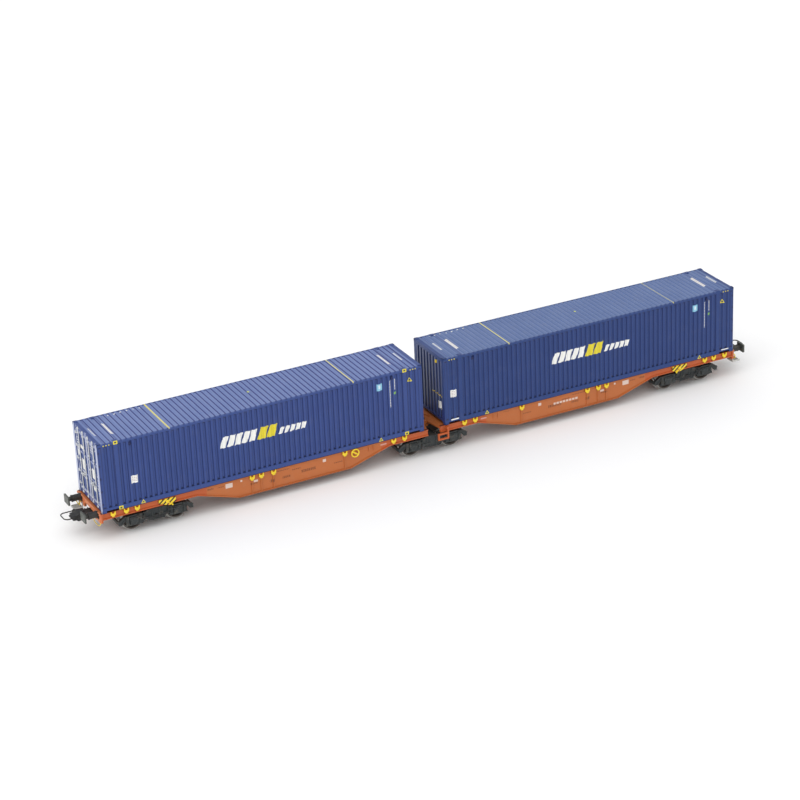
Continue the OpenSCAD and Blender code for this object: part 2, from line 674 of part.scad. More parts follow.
at_end_a() left_sill();  // a_left_sill
at_end_a() right_sill();  // a_right_sill
at_end_a() centre_sill();  // a_centre_sill
at_end_a() cross_beams();  // a_cross_beams
at_end_a() inner_deck("a");  // a_inner_deck
at_end_a() outer_deck();  // a_outer_deck
at_end_a() headstock();  // a_headstock
at_end_a() buffers();  // a_buffers
at_end_a() spigots();  // a_spigots
at_end_a() changeover_panels();  // a_changeover_panels
at_end_a() handbrake_wheel();  // a_handbrake_wheel
at_end_a() air_tank();  // a_air_tank
at_end_a() loop_step();  // a_loop_step
at_end_a() end_step();  // a_end_step
at_end_a() container_left_wall();  // a_container_left_wall
at_end_a() container_right_wall();  // a_container_right_wall
at_end_a() container_front_wall();  // a_container_front_wall
at_end_a() container_doors();  // a_container_doors
at_end_a() container_roof();  // a_container_roof
at_end_a() container_floor();  // a_container_floor
at_end_a() container_posts();  // a_container_posts
at_end_a() coupler();  // a_coupler
at_end_a() bail();  // a_bail
at_end_a() outer_bogie_frame();  // a_bogie_frame
at_end_a() wheelset(pivot_x - wheelbase / 2);  // a_inner_wheelset
at_end_a() wheelset(pivot_x + wheelbase / 2);  // a_outer_wheelset
left_sill();  // b_left_sill
right_sill();  // b_right_sill
centre_sill();  // b_centre_sill
cross_beams();  // b_cross_beams
inner_deck("b");  // b_inner_deck
outer_deck();  // b_outer_deck
headstock();  // b_headstock
buffers();  // b_buffers
spigots();  // b_spigots
changeover_panels();  // b_changeover_panels
handbrake_wheel();  // b_handbrake_wheel
air_tank();  // b_air_tank
loop_step();  // b_loop_step
end_step();  // b_end_step
container_left_wall();  // b_container_left_wall
container_right_wall();  // b_container_right_wall
container_front_wall();  // b_container_front_wall
container_doors();  // b_container_doors
container_roof();  // b_container_roof
container_floor();  // b_container_floor
container_posts();  // b_container_posts
coupler();  // b_coupler
bail();  // b_bail
outer_bogie_frame();  // b_bogie_frame
wheelset(pivot_x - wheelbase / 2);  // b_inner_wheelset
wheelset(pivot_x + wheelbase / 2);  // b_outer_wheelset
middle_bogie_frame();
wheelset(-wheelbase / 2);  // middle_wheelset_a
wheelset(wheelbase / 2);  // middle_wheelset_b
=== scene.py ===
"""The looks of the articulated container wagon model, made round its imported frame.

Lengths are millimetres until a mesh is made. A half wagon is described once, by u outward from
the middle pivot, v across and z up. End b has X = u and Y = v, and end a is turned half a turn.
"""

import bpy
import numpy as np
from mathutils import Matrix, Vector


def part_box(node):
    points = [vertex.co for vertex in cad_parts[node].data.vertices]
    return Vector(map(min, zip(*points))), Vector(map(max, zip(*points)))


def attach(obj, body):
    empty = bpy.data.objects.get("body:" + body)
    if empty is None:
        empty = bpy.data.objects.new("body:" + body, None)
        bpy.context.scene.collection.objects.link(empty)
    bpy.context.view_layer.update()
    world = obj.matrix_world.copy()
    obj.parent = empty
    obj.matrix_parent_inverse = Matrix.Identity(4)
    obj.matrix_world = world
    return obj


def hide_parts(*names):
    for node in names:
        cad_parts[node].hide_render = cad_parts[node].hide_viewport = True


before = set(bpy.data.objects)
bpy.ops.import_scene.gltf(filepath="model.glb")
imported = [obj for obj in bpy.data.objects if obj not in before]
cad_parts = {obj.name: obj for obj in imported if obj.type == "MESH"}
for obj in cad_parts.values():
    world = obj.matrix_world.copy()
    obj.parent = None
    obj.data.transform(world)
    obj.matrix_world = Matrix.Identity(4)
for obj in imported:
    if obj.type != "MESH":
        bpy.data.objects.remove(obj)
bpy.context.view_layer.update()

MM = 0.001
HALVES = {"a": -1, "b": 1}


def span_of(node):
    """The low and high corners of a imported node, in millimetres."""
    low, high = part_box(node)
    return np.array(low) / MM, np.array(high) / MM


sill_low, sill_high = span_of("b_left_sill")
post_low, post_high = span_of("b_container_posts")
wall_low, wall_high = span_of("b_container_left_wall")
roof_low, roof_high = span_of("b_container_roof")
doors_low, doors_high = span_of("b_container_doors")
front_low, front_high = span_of("b_container_front_wall")
head_low, head_high = span_of("b_headstock")
buffer_low, buffer_high = span_of("b_buffers")
_, bogie_high = span_of("middle_bogie_frame")
outer_bogie_low, outer_bogie_high = span_of("b_bogie_frame")
wheel_low, wheel_high = span_of("middle_wheelset_b")
bail_low, bail_high = span_of("b_bail")
coupler_low, _ = span_of("b_coupler")
spigot_low, spigot_high = span_of("b_spigots")
panel_low, panel_high = span_of("b_changeover_panels")
spine_low, spine_high = span_of("b_centre_sill")
beam_low, beam_high = span_of("b_cross_beams")
tank_low, tank_high = span_of("b_air_tank")
step_low, step_high = span_of("b_end_step")
bail_mid = (bail_low[2] + bail_high[2]) / 2

edge = sill_high[1]
deck_top = sill_high[2]
belly_z = sill_low[2]
half_len = head_high[0]
load_edge = wall_high[1]
load_top = post_high[2]
load_in, load_out = post_low[0], post_high[0]
axle_z = (wheel_low[2] + wheel_high[2]) / 2
axle_x = (wheel_low[0] + wheel_high[0]) / 2
pivot_u = (outer_bogie_low[0] + outer_bogie_high[0]) / 2
bogie_half = bogie_high[0]
axlebox_out = bogie_high[1]
belly_ends = (beam_low[0] + 2, beam_high[0] - 2)


# ---- Surfaces ----

def grid_faces(rows, columns, round_rows=False):
    """Quads between the points of a grid whose columns, and rows if asked, close on themselves."""
    r, c = np.meshgrid(np.arange(rows if round_rows else rows - 1), np.arange(columns), indexing="ij")
    row, below, beside = r * columns, (r + 1) % rows * columns, (c + 1) % columns
    return np.stack([row + c, row + beside, below + beside, below + c], -1).reshape(-1, 4)


def tube(points, rows, columns):
    """A grid of points and its faces: the quads round it, and one face over each end."""
    first = np.arange(columns)
    ends = [first[::-1][None], (first + (rows - 1) * columns)[None]]
    return points.reshape(-1, 3), [grid_faces(rows, columns), *ends]


def swept(path, outline, scale=1.0, up=(0, 0, 1)):
    """A closed outline (x to the side, y up) carried along a path, its size times scale at each point.

    The side is up cross path direction, so the outline stays level as the path turns."""
    path = np.asarray(path, float)
    way = np.gradient(path, axis=0)
    way /= np.linalg.norm(way, axis=1)[:, None]
    side = np.cross(np.broadcast_to(np.asarray(up, float), way.shape), way)
    side /= np.linalg.norm(side, axis=1)[:, None]
    rise = np.cross(way, side)
    size = np.broadcast_to(np.asarray(scale, float).reshape(-1, 1), (len(path), 1))
    flat = outline[None] * size[..., None]
    points = path[:, None] + flat[..., :1] * side[:, None] + flat[..., 1:] * rise[:, None]
    return tube(points, len(path), len(outline))


def circle(radius, count=16):
    """Points round a circle, anticlockwise."""
    angle = np.arange(count) * 2 * np.pi / count
    return radius * np.stack([np.cos(angle), np.sin(angle)], -1)


def rounded(width, height, radius, count=3):
    """A rectangle with a quarter circle at each corner, anticlockwise."""
    angle = np.linspace(0, np.pi / 2, count)
    arc = radius * np.stack([np.cos(angle), np.sin(angle)], -1)
    corner = np.array([width / 2 - radius, height / 2 - radius])
    turns = [np.array([[c, -s], [s, c]]) for c, s in ((1, 0), (0, 1), (-1, 0), (0, -1))]
    signs = np.array([[1, 1], [-1, 1], [-1, -1], [1, -1]])
    return np.concatenate([arc @ t.T + s * corner for t, s in zip(turns, signs)])


def bar(start, end, width, height, up=(0, 0, 1), soft=0.12):
    """A straight bar of rounded section whose ends are eased: the section shrinks over its last bit."""
    start, end = np.asarray(start, float), np.asarray(end, float)
    length = np.linalg.norm(end - start)
    ease = min(soft, 0.3 * length)
    at = np.array([0, ease, length - ease, length]) / length
    shrink = 1 - 2 * soft / max(width, height) * 0.8
    path = start + at[:, None] * (end - start)
    corner = min(soft, 0.45 * min(width, height))
    return swept(path, rounded(width, height, corner), np.array([shrink, 1, 1, shrink]), up)


def block(low, high, soft=0.12):
    """A bar that fills the box between two corners, laid along its longest side."""
    low, high = np.asarray(low, float), np.asarray(high, float)
    size, middle = high - low, (low + high) / 2
    k = int(np.argmax(size))
    start, end = middle.copy(), middle.copy()
    start[k], end[k] = low[k], high[k]
    if k == 2:
        return bar(start, end, size[1], size[0], (1, 0, 0), soft)
    return bar(start, end, size[1 - k], size[2], (0, 0, 1), soft)


def turned(profile, base, axis, count=20):
    """A profile of (radius, distance) pairs revolved about an axis that starts at base."""
    profile = np.asarray(profile, float)
    axis = np.asarray(axis, float)
    path = np.asarray(base, float) + profile[:, 1:] * axis
    up = (0, 0, 1) if abs(axis[2]) < 0.5 else (1, 0, 0)
    side = np.cross(up, axis)
    side = side / np.linalg.norm(side)
    rise = np.cross(axis, side)
    ring = circle(1, count)
    around = ring[:, :1] * side + ring[:, 1:] * rise
    return tube(path[:, None] + profile[:, :1, None] * around[None], len(profile), count)


def smooth_path(points, count=8):
    """A curve through the points: Catmull-Rom spans, each of count steps."""
    p = np.asarray(points, float)
    p = np.concatenate([[2 * p[0] - p[1]], p, [2 * p[-1] - p[-2]]])
    t = np.linspace(0, 1, count, endpoint=False)[:, None]
    spans = [0.5 * (2 * b + (c - a) * t + (2 * a - 5 * b + 4 * c - d) * t ** 2
                    + (3 * b - a - 3 * c + d) * t ** 3)
             for a, b, c, d in zip(p, p[1:], p[2:], p[3:])]
    return np.concatenate(spans + [p[-2:-1]])


def wire(points, radius, up=(0, 0, 1), count=8, steps=6):
    """A round wire bent along a smooth curve through the points."""
    return swept(smooth_path(points, steps), circle(radius, count), 1.0, up)


def coil(base, radius, height, wire_radius, turns, steps=12, count=6):
    """A coil spring standing on base: a helix of even pitch with a round wire."""
    t = np.linspace(0, turns, int(turns * steps) + 1)
    angle = 2 * np.pi * t
    path = np.stack([radius * np.cos(angle), radius * np.sin(angle),
                     wire_radius + t / turns * (height - 2 * wire_radius)], -1) + np.asarray(base)
    return swept(path, circle(wire_radius, count))


def pierced_plate(middle, across, upward, size, hole, thick, count=24):
    """A rounded plate with an oval hole: its section runs out from the oval to the edge and back.

    across and upward are unit directions in its plane, and it is thick along their cross product."""
    across, upward = np.asarray(across, float), np.asarray(upward, float)
    outward = np.cross(across, upward)
    angle = (np.arange(count) + 0.5) * 2 * np.pi / count
    ring = np.stack([np.cos(angle), np.sin(angle)], -1)
    inner = ring * np.asarray(hole) / 2
    outer = ring / np.max(np.abs(ring), axis=1)[:, None] * np.asarray(size) / 2
    section = [(inner, 0), (inner * 1.12, thick), (outer * 0.94, thick), (outer, thick * 0.8), (outer, 0)]
    points = np.stack([flat[:, :1] * across + flat[:, 1:] * upward + high * outward + middle
                       for flat, high in section])
    faces = grid_faces(len(section), count, True)[:, ::-1]
    return points.reshape(-1, 3), [faces]


class Shell:
    """Surfaces gathered, in millimetres, to become one piece."""

    def __init__(self):
        self.points, self.faces, self.count = [], [], 0

    def add(self, *surfaces):
        for points, faces in surfaces:
            self.points.append(points)
            self.faces += [f + self.count for f in faces]
            self.count += len(points)
        return self

    def both_sides(self, *surfaces):
        """Adds each surface and its mirror image across the wagon, with its faces turned round."""
        for points, faces in surfaces:
            self.add((points, faces), (points * (1, -1, 1), [f[:, ::-1] for f in faces]))
        return self

    def pair(self, low, high, soft=0.12):
        """Adds a block between two corners, and its mirror image across the wagon."""
        return self.both_sides(block(low, high, soft))

    def both_ways(self, *surfaces):
        """Adds each surface and its mirror images along and across, about the origin of u and v."""
        for points, faces in surfaces:
            self.both_sides((points, faces), (points * (-1, 1, 1), [f[:, ::-1] for f in faces]))
        return self

    def moved(self, u):
        """Shifts all that was gathered along the wagon."""
        self.points = [p + (u, 0, 0) for p in self.points]
        return self


def piece(name, shell, body, finish, half=None, sharp=35):
    """Makes the gathered surfaces one mesh that rides on a body, turned round for end a."""
    points = np.concatenate(shell.points)
    if half == "a":
        points = points * (-1, -1, 1)
    mesh = bpy.data.meshes.new(name)
    mesh.vertices.add(len(points))
    mesh.vertices.foreach_set("co", (points * MM).astype(np.float32).ravel())
    sizes = np.concatenate([np.full(len(f), f.shape[1]) for f in shell.faces])
    corners = np.concatenate([f.ravel() for f in shell.faces])
    mesh.loops.add(len(corners))
    mesh.loops.foreach_set("vertex_index", corners.astype(np.int32))
    mesh.polygons.add(len(sizes))
    mesh.polygons.foreach_set("loop_start", np.concatenate([[0], np.cumsum(sizes)[:-1]]).astype(np.int32))
    mesh.update(calc_edges=True)
    mesh.validate()
    mesh.shade_smooth()
    mesh.set_sharp_from_angle(angle=np.radians(sharp))
    mesh.materials.append(finish)
    made = bpy.data.objects.new(name, mesh)
    bpy.context.scene.collection.objects.link(made)
    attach(made, body)
    return made


def fitting(half, name, shell, finish, body="half_wagon"):
    """A piece at one end of the model, which rides that end's body."""
    return piece(f"{half}_{name}", shell, f"{body}_{half}", finish, half)


# ---- Finishes ----

def ink(red, green, blue):
    """A colour given as 0 to 255 for the screen, as the linear colour that a shader takes."""
    c = np.array([red, green, blue]) / 255
    linear = np.where(c <= 0.04045, c / 12.92, ((c + 0.055) / 1.055) ** 2.4)
    return (*[float(x) for x in linear], 1.0)


def two_sided(operation):
    """A method of Field that puts its own value and another through one Math node."""
    return lambda self, other: self.math(operation, self, other)


class Field:
    """Something that changes over a surface: a socket, with arithmetic that adds Math nodes."""

    def __init__(self, finish, socket):
        self.finish, self.socket = finish, socket

    def math(self, operation, *inputs):
        return self.finish.math(operation, *inputs)

    __add__ = __radd__ = two_sided("ADD")
    __sub__ = two_sided("SUBTRACT")
    __mul__ = __rmul__ = two_sided("MULTIPLY")
    __truediv__ = two_sided("DIVIDE")
    __gt__ = two_sided("GREATER_THAN")
    __lt__ = two_sided("LESS_THAN")
    __or__ = two_sided("MAXIMUM")

    def __rsub__(self, other):
        return self.math("SUBTRACT", other, self)

    def __abs__(self):
        return self.math("ABSOLUTE", self)

    def near(self, middle, reach):
        """1 where the value is within reach of middle, and 0 elsewhere."""
        return self.math("COMPARE", self, middle, reach)

    def wrap(self, period):
        """The value's place within a period that repeats."""
        return self.math("WRAP", self, period, 0.0)

    def ease(self, low, high, out_low=0.0, out_high=1.0):
        """Rises smoothly from out_low to out_high as the value goes from low to high."""
        return self.finish.field("ShaderNodeMapRange", {"interpolation_type": "SMOOTHSTEP"},
                                 {0: self, 1: low, 2: high, 3: out_low, 4: out_high})


class Finish:
    """A material being made: a Principled shader and the fields that feed it."""

    def __init__(self, name, sign=1, **constants):
        self.material = bpy.data.materials.new(name)
        self.material.use_nodes = True
        self.nodes, self.links = self.material.node_tree.nodes, self.material.node_tree.links
        self.nodes.clear()
        self.shader = self.node("ShaderNodeBsdfPrincipled", {}, constants)
        output = self.node("ShaderNodeOutputMaterial")
        self.links.new(self.shader.outputs[0], output.inputs[0])
        self.spot = self.field("ShaderNodeTexCoord", {}, {}, "Object")
        self.place = self.vector("MULTIPLY", self.spot, (sign / MM, sign / MM, 1 / MM))
        parts = self.node("ShaderNodeSeparateXYZ", {}, {0: self.place})
        self.u, self.v, self.z = (Field(self, s) for s in parts.outputs)

    def node(self, kind, settings=None, sockets=None):
        """Adds a node: its settings first, then what goes into its sockets."""
        made = self.nodes.new(kind)
        for name, value in (settings or {}).items():
            setattr(made, name, value)
        for name, value in (sockets or {}).items():
            if isinstance(value, Field):
                self.links.new(value.socket, made.inputs[name])
            else:
                made.inputs[name].default_value = value
        return made

    def field(self, kind, settings, sockets, output=0):
        return Field(self, self.node(kind, settings, sockets).outputs[output])

    def math(self, operation, *inputs):
        return self.field("ShaderNodeMath", {"operation": operation}, dict(enumerate(inputs)))

    def vector(self, operation, *inputs):
        return self.field("ShaderNodeVectorMath", {"operation": operation}, dict(enumerate(inputs)))

    def mix(self, mask, first, second):
        """The first colour where the mask is 0 and the second where it is 1."""
        return self.field("ShaderNodeMix", {"data_type": "RGBA"}, {0: mask, 6: first, 7: second}, 2)

    def paint(self, mask, colour):
        """Lays a colour over what is there so far, where the mask is 1."""
        self.shade = self.mix(mask, self.shade, colour)

    def noise(self, grain, detail=3.0, stretch=(1, 1, 1)):
        """Cloudy noise whose patches are about grain millimetres across, longer where stretch is."""
        at = self.vector("MULTIPLY", self.place, tuple(1 / (grain * s) for s in stretch))
        return self.field("ShaderNodeTexNoise", {}, {"Vector": at, "Scale": 1.0, "Detail": detail})

    def panel(self, across, upward, middle, size):
        """1 inside a rectangle of the two fields, and 0 outside."""
        return across.near(middle[0], size[0] / 2) * upward.near(middle[1], size[1] / 2)

    def bump(self, height, distance, soft_edge=0.0):
        """Turns a height field into the surface's normal, with its edges softened if asked."""
        sockets = {"Height": height, "Strength": 1.0, "Distance": distance * MM}
        if soft_edge:
            sockets["Normal"] = self.field("ShaderNodeBevel", {"samples": 3}, {"Radius": soft_edge * MM})
        return self.field("ShaderNodeBump", {}, sockets)

    def worn_and_lit_edge(self, radius):
        """1 along outer edges, where a rounded normal turns away from the flat one."""
        round_normal = self.field("ShaderNodeBevel", {"samples": 3}, {"Radius": radius * MM})
        flat = self.field("ShaderNodeNewGeometry", {}, {}, "Normal")
        together = self.vector("DOT_PRODUCT", round_normal, flat)
        together.socket = together.socket.node.outputs["Value"]
        return (1 - together).ease(0.01, 0.12)

    def done(self, **fields):
        """Links fields to the shader's sockets, by name with _ for a space, and gives the material."""
        for name, value in fields.items():
            socket = self.shader.inputs[name.replace("_", " ")]
            if isinstance(value, Field):
                self.links.new(value.socket, socket)
            else:
                socket.default_value = value
        return self.material

    def coated(self, depth, soften, **fields):
        """Gives the material its shade and gloss, with a fine texture some millimetres deep."""
        return self.done(Base_Color=self.shade, Roughness=self.gloss,
                         Normal=self.bump(self.fine, depth, soften), **fields)


BLUE = ink(43, 67, 130)
DEEP_BLUE = ink(24, 36, 86)
# Paler than the wall blues: painted top light on the roof
LIT_ROOF_BLUE = ink(100, 119, 172)
ORANGE = ink(184, 103, 50)
YELLOW = ink(240, 208, 44)
WHITE = ink(236, 236, 232)
PRINT = ink(140, 96, 104)
MARK_YELLOW = ink(220, 204, 50)
BLUES = {"a": BLUE, "b": ink(28, 57, 117)}
LIT_ROOF_BLUES = {"a": LIT_ROOF_BLUE, "b": ink(84, 106, 153)}
DUST = ink(150, 138, 120)


def moulded(name, colour, roughness, sign=1, grain=1.6, dirt=0.25):
    """Painted or dyed plastic: faintly cloudy colour, some dust and a fine texture."""
    f = Finish(name, sign, IOR=1.46)
    cloud = f.noise(grain * 6).ease(0.3, 0.7)
    f.fine = f.noise(grain * 0.16, 4.0)
    f.shade = f.mix(cloud * 0.2, colour, tuple(c * 0.78 for c in colour[:3]) + (1.0,))
    f.paint(f.noise(grain * 2, 5.0).ease(0.5, 0.8) * dirt, DUST)
    f.gloss = roughness + (cloud - 0.5) * 0.12 + (f.fine - 0.5) * 0.1
    return f


rib_pitch = 2.49
short_pitch = 1.35 * rib_pitch
front_pitch = 1.25 * rib_pitch
post_inset = 8.76
inner_posts = (load_in + post_inset, load_out - post_inset)
middle_u = (load_in + load_out) / 2
rail_top = front_low[2] + 1.2
panel_top = load_top - 1.5


def rib_phase(along, start, end, pitch):
    """Where a point lies within its pressed rib, from 0 to 1; the last rib ends on a crest."""
    count = round((end - start) / pitch)
    return ((along - start) / ((end - start) / (count + 0.44))).wrap(1.0)


def creases(phase):
    """1 on a rib's two slopes, which hold the shade, and 0 on its crest and trough."""
    return phase.near(0.5, 0.065) | phase.near(0.94, 0.06)


def wall_ribs(f):
    """The place within a rib all along a side wall: long ribs between the middle posts, wider beyond."""
    inside, outside = f.u < inner_posts[0], f.u > inner_posts[1]
    return (rib_phase(f.u, *inner_posts, rib_pitch) * (1 - inside) * (1 - outside)
            + rib_phase(f.u, wall_low[0], inner_posts[0], short_pitch) * inside
            + rib_phase(f.u, inner_posts[1], wall_high[0], short_pitch) * outside)


def any_of(masks):
    """1 where any of the masks is."""
    whole = masks[0]
    for mask in masks[1:]:
        whole = whole | mask
    return whole


def panels(f, along, upward, rows):
    """Rectangles given by their middle along and up, their length and their height."""
    return any_of([f.panel(along, upward, row[:2], row[2:]) for row in rows])


def triangle(f, along, upward, height):
    """1 inside a triangle that stands on upward = 0 and peaks at along = 0."""
    return (abs(along) * 1.6 + upward < height) * (upward > 0)


def side_prints(f, half):
    """The blank marks on a container's long sides: bars, rings, triangles, plates and dashes."""
    side = abs(f.v) > load_edge - 0.75
    rightward = (f.u - middle_u) * (1 - 2 * (f.v > 0))
    bars_z = 33.4
    lean = rightward - (f.z - bars_z) * 0.35
    white = lean.near(-12.25, 8.75) * ((lean + 21).wrap(3.5) < 2.75) * f.z.near(bars_z, 2.6)
    white = white | lean.near(14.3, 6.8) * ((lean - 7.5).wrap(2.72) < 2.0) * f.z.near(bars_z - 1.1, 1.5)
    yellow = lean.near(1.6, 4.4) * ((lean + 2.8).wrap(4.5) < 3.8) * f.z.near(bars_z, 2.8)
    column = f.panel(rightward, f.z, (62.6, 36.6), (0.55, 13.0)) * (f.z.wrap(0.8) > 0.3)
    column = column | f.panel(rightward, f.z, (65.0, 41.0), (0.45, 5.4)) * (f.z.wrap(0.7) > 0.25)
    plate_at = (-62.7, 26.9) if half == "a" else (-73.8, 28.9)
    plate = f.panel(rightward, f.z, plate_at, (3.2, 3.6))
    print_rows = f.panel(rightward, f.z, plate_at, (2.4, 2.8)) * (f.z.wrap(0.75) > 0.42)
    f.paint((white | column | plate) * side, WHITE)
    f.paint(print_rows * (f.u.wrap(0.8) > 0.3) * side * 0.7, PRINT)
    badge = f.panel(rightward, f.z, (57.4, 41.1), (2.7, 3.3))
    f.paint(badge * side, ink(140, 196, 222))
    f.paint(f.panel(rightward, f.z, (57.4, 41.3), (1.3, 1.7)) * side, ink(206, 226, 234))
    across, upward = rightward - 65.0, f.z - 36.6
    dot = across * across + upward * upward < 0.45
    f.paint(dot * side, ink(126, 176, 84))
    ticks = [(u, 46.1, 0.5, 0.5) for reach in (3.2, 4.5, 5.8) for u in (load_in + reach, load_out - reach)]
    marks = [yellow, panels(f, f.u, f.z, ticks), triangle(f, rightward - 72.6, f.z - 40.4, 2.0)]
    hollow = [triangle(f, rightward - 72.6, f.z - 40.8, 1.0)]
    for u in (27.5, 144.0):
        marks.append(triangle(f, f.u - u, f.z - 14.5, 1.8))
        hollow.append(triangle(f, f.u - u, f.z - 14.85, 0.9))
    if half == "a":
        face = abs(f.v) > load_edge - 0.05
        for u in inner_posts:
            for z, outside, inside in ((46.5, 1.7, 0.7), (15.0, 1.9, 0.8)):
                marks.append(f.panel(f.u, f.z, (u, z), (2.0, outside)) * face)
                hollow.append(f.panel(f.u, f.z, (u, z), (0.9, inside)))
    else:
        f.paint(panels(f, rightward, f.z, [(-73.6, 16.0, 4.0, 0.6), (74.2, 16.0, 4.0, 0.5)]) * side, WHITE)
    f.paint(any_of(marks) * side, MARK_YELLOW)
    f.paint(any_of(hollow) * side, DEEP_BLUE)


def wall_painted_shade(f):
    """Painted shade in the side walls' creases, at the ribs' feet and beside the posts."""
    side = abs(f.v) > load_edge - 0.75
    phase = wall_ribs(f)
    sheet = (f.z > rail_top) * (f.z < panel_top) * side
    beside = [f.u.near(u + way * 1.2, 0.22) for u in inner_posts for way in (-1, 1)]
    lines = (creases(phase) | any_of(beside)) * sheet
    trough = abs(phase - 0.72)
    feet = (trough * 3.2 + (f.z - rail_top) < 1.0) * sheet
    heads = (trough * 3.2 + (panel_top - f.z) < 0.75) * sheet
    # Painted shade: dark lines in the creases and beside the posts, dark notches at the ribs' feet and heads
    f.paint(lines * 0.6, DEEP_BLUE)
    f.paint((feet | heads) * 0.85, ink(14, 20, 56))


def end_prints_and_painted_light(f):
    """The two ends: painted shade and highlights on the ribs of one; painted highlights and sheen on the
    posts and doors of the other, and blank rows.
    """
    inner = (f.u < load_in + 1.6) * (abs(f.v) < front_high[1])
    phase = rib_phase(f.v, front_low[1], front_high[1], front_pitch)
    high = f.z.ease(20, 30)
    sheet = inner * (f.z > rail_top) * (f.z < panel_top - 0.4)
    # Painted shade in the front wall's rib troughs, and painted highlights on one slope of each rib that fade
    # out lower down
    f.paint(phase.near(0.68, 0.26) * sheet * 0.8, ink(14, 20, 50))
    f.paint(phase.near(0.04, 0.07) * sheet * high * 0.75, ink(176, 176, 190))
    f.paint(phase.near(0.2, 0.12) * sheet * high * 0.3, ink(120, 126, 156))
    rope = f.z.near(27.4, 0.2) * f.v.near(-8.0, 6.0) * (f.v.wrap(1.1) > 0.2)
    mark = f.panel(f.v, f.z, (-6.4, 43.4), (0.8, 1.6))
    f.paint((rope | mark) * inner, YELLOW)
    plate = f.panel(f.v, f.z, (-9.8, 22.6), (3.4, 3.6))
    f.paint(plate * inner, WHITE)
    f.paint(plate * inner * (f.z.wrap(0.8) > 0.5) * (f.v.wrap(0.9) > 0.35) * 0.5, PRINT)
    outer = f.u > load_out - 0.75
    # Painted highlight on the end faces of the corner posts
    post = outer * (abs(f.v) > doors_high[1] + 0.1) * (f.u > load_out - 0.1)
    f.paint(post * 0.62, ink(206, 212, 232))
    band_step = (panel_top - rail_top - 2.2) / 3
    bands = any_of([f.z.near(rail_top + 0.8 + k * band_step, 0.45) for k in range(4)])
    rims = abs(f.v).near(0.5, 0.35) | abs(f.v).near(doors_high[1] - 0.45, 0.4)
    # Painted sheen, in patches, on the door's bands and rims
    sheen_patches = f.noise(1.4, 4.0).ease(0.3, 0.6)
    pale = (bands | rims) * outer * (abs(f.v) < doors_high[1]) * sheen_patches
    f.paint(pale * 0.6, ink(196, 202, 226))
    rows = (f.z.wrap(1.25) > 0.6) * (f.v.wrap(0.7) > 0.22)
    text = panels(f, f.v, f.z, [(5.6, 41.6, 3.6, 4.0), (-5.7, 26.0, 3.8, 7.0), (-10.6, 36.6, 2.4, 9.0),
                                (10.8, 25.0, 1.9, 8.0)])
    f.paint(rows * text * outer * 0.85, WHITE)


def container_finish(half):
    """Blue container paint with painted shade, painted highlights and painted sheen, and its blank marks."""
    f = moulded(f"container_paint_{half}", BLUES[half], 0.42, HALVES[half], 2.0, 0.03)
    wall_painted_shade(f)
    side_prints(f, half)
    end_prints_and_painted_light(f)
    return f.coated(0.012, 0.08)


def roof_finish(half):
    """The roof's paint, paler as painted top light, with painted shade in the creases, painted highlights,
    two lines across and small blank bars.
    """
    f = moulded(f"roof_paint_{half}", LIT_ROOF_BLUES[half], 0.46, HALVES[half], 2.4, 0.06)
    top = f.z > load_top - 0.9
    phase = rib_phase(f.u, roof_low[0], roof_high[0], rib_pitch)
    # Painted shade in the roof's creases, and its troughs painted lighter as a painted highlight
    f.paint(phase.near(0.5, 0.08) * top * 0.92, ink(38, 50, 112))
    f.paint(phase.near(0.72, 0.15) * top * 0.35, ink(130, 146, 192))
    folds = (inner_posts[0] + 1.3, inner_posts[1] - 1.3, load_in + 3.6, load_out - 3.6)
    f.paint(any_of([f.u.near(u, 0.3) for u in folds]) * top * 0.5, ink(44, 56, 116))
    # Painted shade: dark notches at the rib ends along the roof's edges
    rim = (abs(f.v) > load_edge - 0.45) * top * phase.near(0.7, 0.16)
    f.paint(rim * 0.8, DEEP_BLUE)
    f.paint((abs(f.v) > load_edge - 0.05) * 0.7, BLUES[half])
    lines = f.u.near(40.0, 0.26) | f.u.near(129.2, 0.26)
    f.paint(lines * top * 0.85, ink(232, 220, 120))
    bars = f.panel(f.u, f.v, (17.3, -0.5), (1.3, 12.0)) | f.panel(f.u, f.v, (152.6, 0.5), (1.3, 12.0))
    thin = panels(f, f.u, f.v, [(10.3, 0.0, 0.9, 9.0), (159.8, 0.0, 0.9, 9.0)]) * (f.v.wrap(1.1) > 0.3)
    f.paint((bars * 0.9 | thin * 0.75) * top, WHITE)
    f.paint(bars * top * f.u.wrap(0.55).near(0.27, 0.12) * (f.v.wrap(0.9) > 0.3) * 0.55, PRINT)
    far, glints_at = (-1, 140.0) if half == "a" else (1, 22.0)
    # Painted glints: a row of white dashes along the far roof edge
    glints = f.v.near(far * 12.3, 0.3) * f.u.near(glints_at, 9.5) * (f.u.wrap(3.0) < 0.7)
    f.paint(glints * top, WHITE)
    f.paint(f.panel(f.u, f.v, (84.5, far * 1.4), (0.9, 1.1)) * top, ink(200, 206, 96))
    return f.coated(0.015, 0.08)


# Middle along u and z, length and height of the marks on a side web
DARK_DASHES = [(78, 12.4, 9, 0.35), (70, 11.3, 4, 0.7), (64, 9.4, 7, 1.2), (75, 8.8, 4, 1),
               (82, 8.6, 2.4, 1.4), (91, 9.6, 4, 0.7), (49, 9.2, 4.4, 0.5), (38, 12.6, 3, 0.3),
               (112, 12.2, 3, 0.8), (107, 12, 3, 0.5)]
PALE_PLATES = [(103, 11.6, 3.4, 2.2), (90, 10.6, 2, 1), (56, 11.8, 1.6, 1.4), (26, 12.2, 3, 0.7),
               (97, 12.4, 0.9, 0.9)]


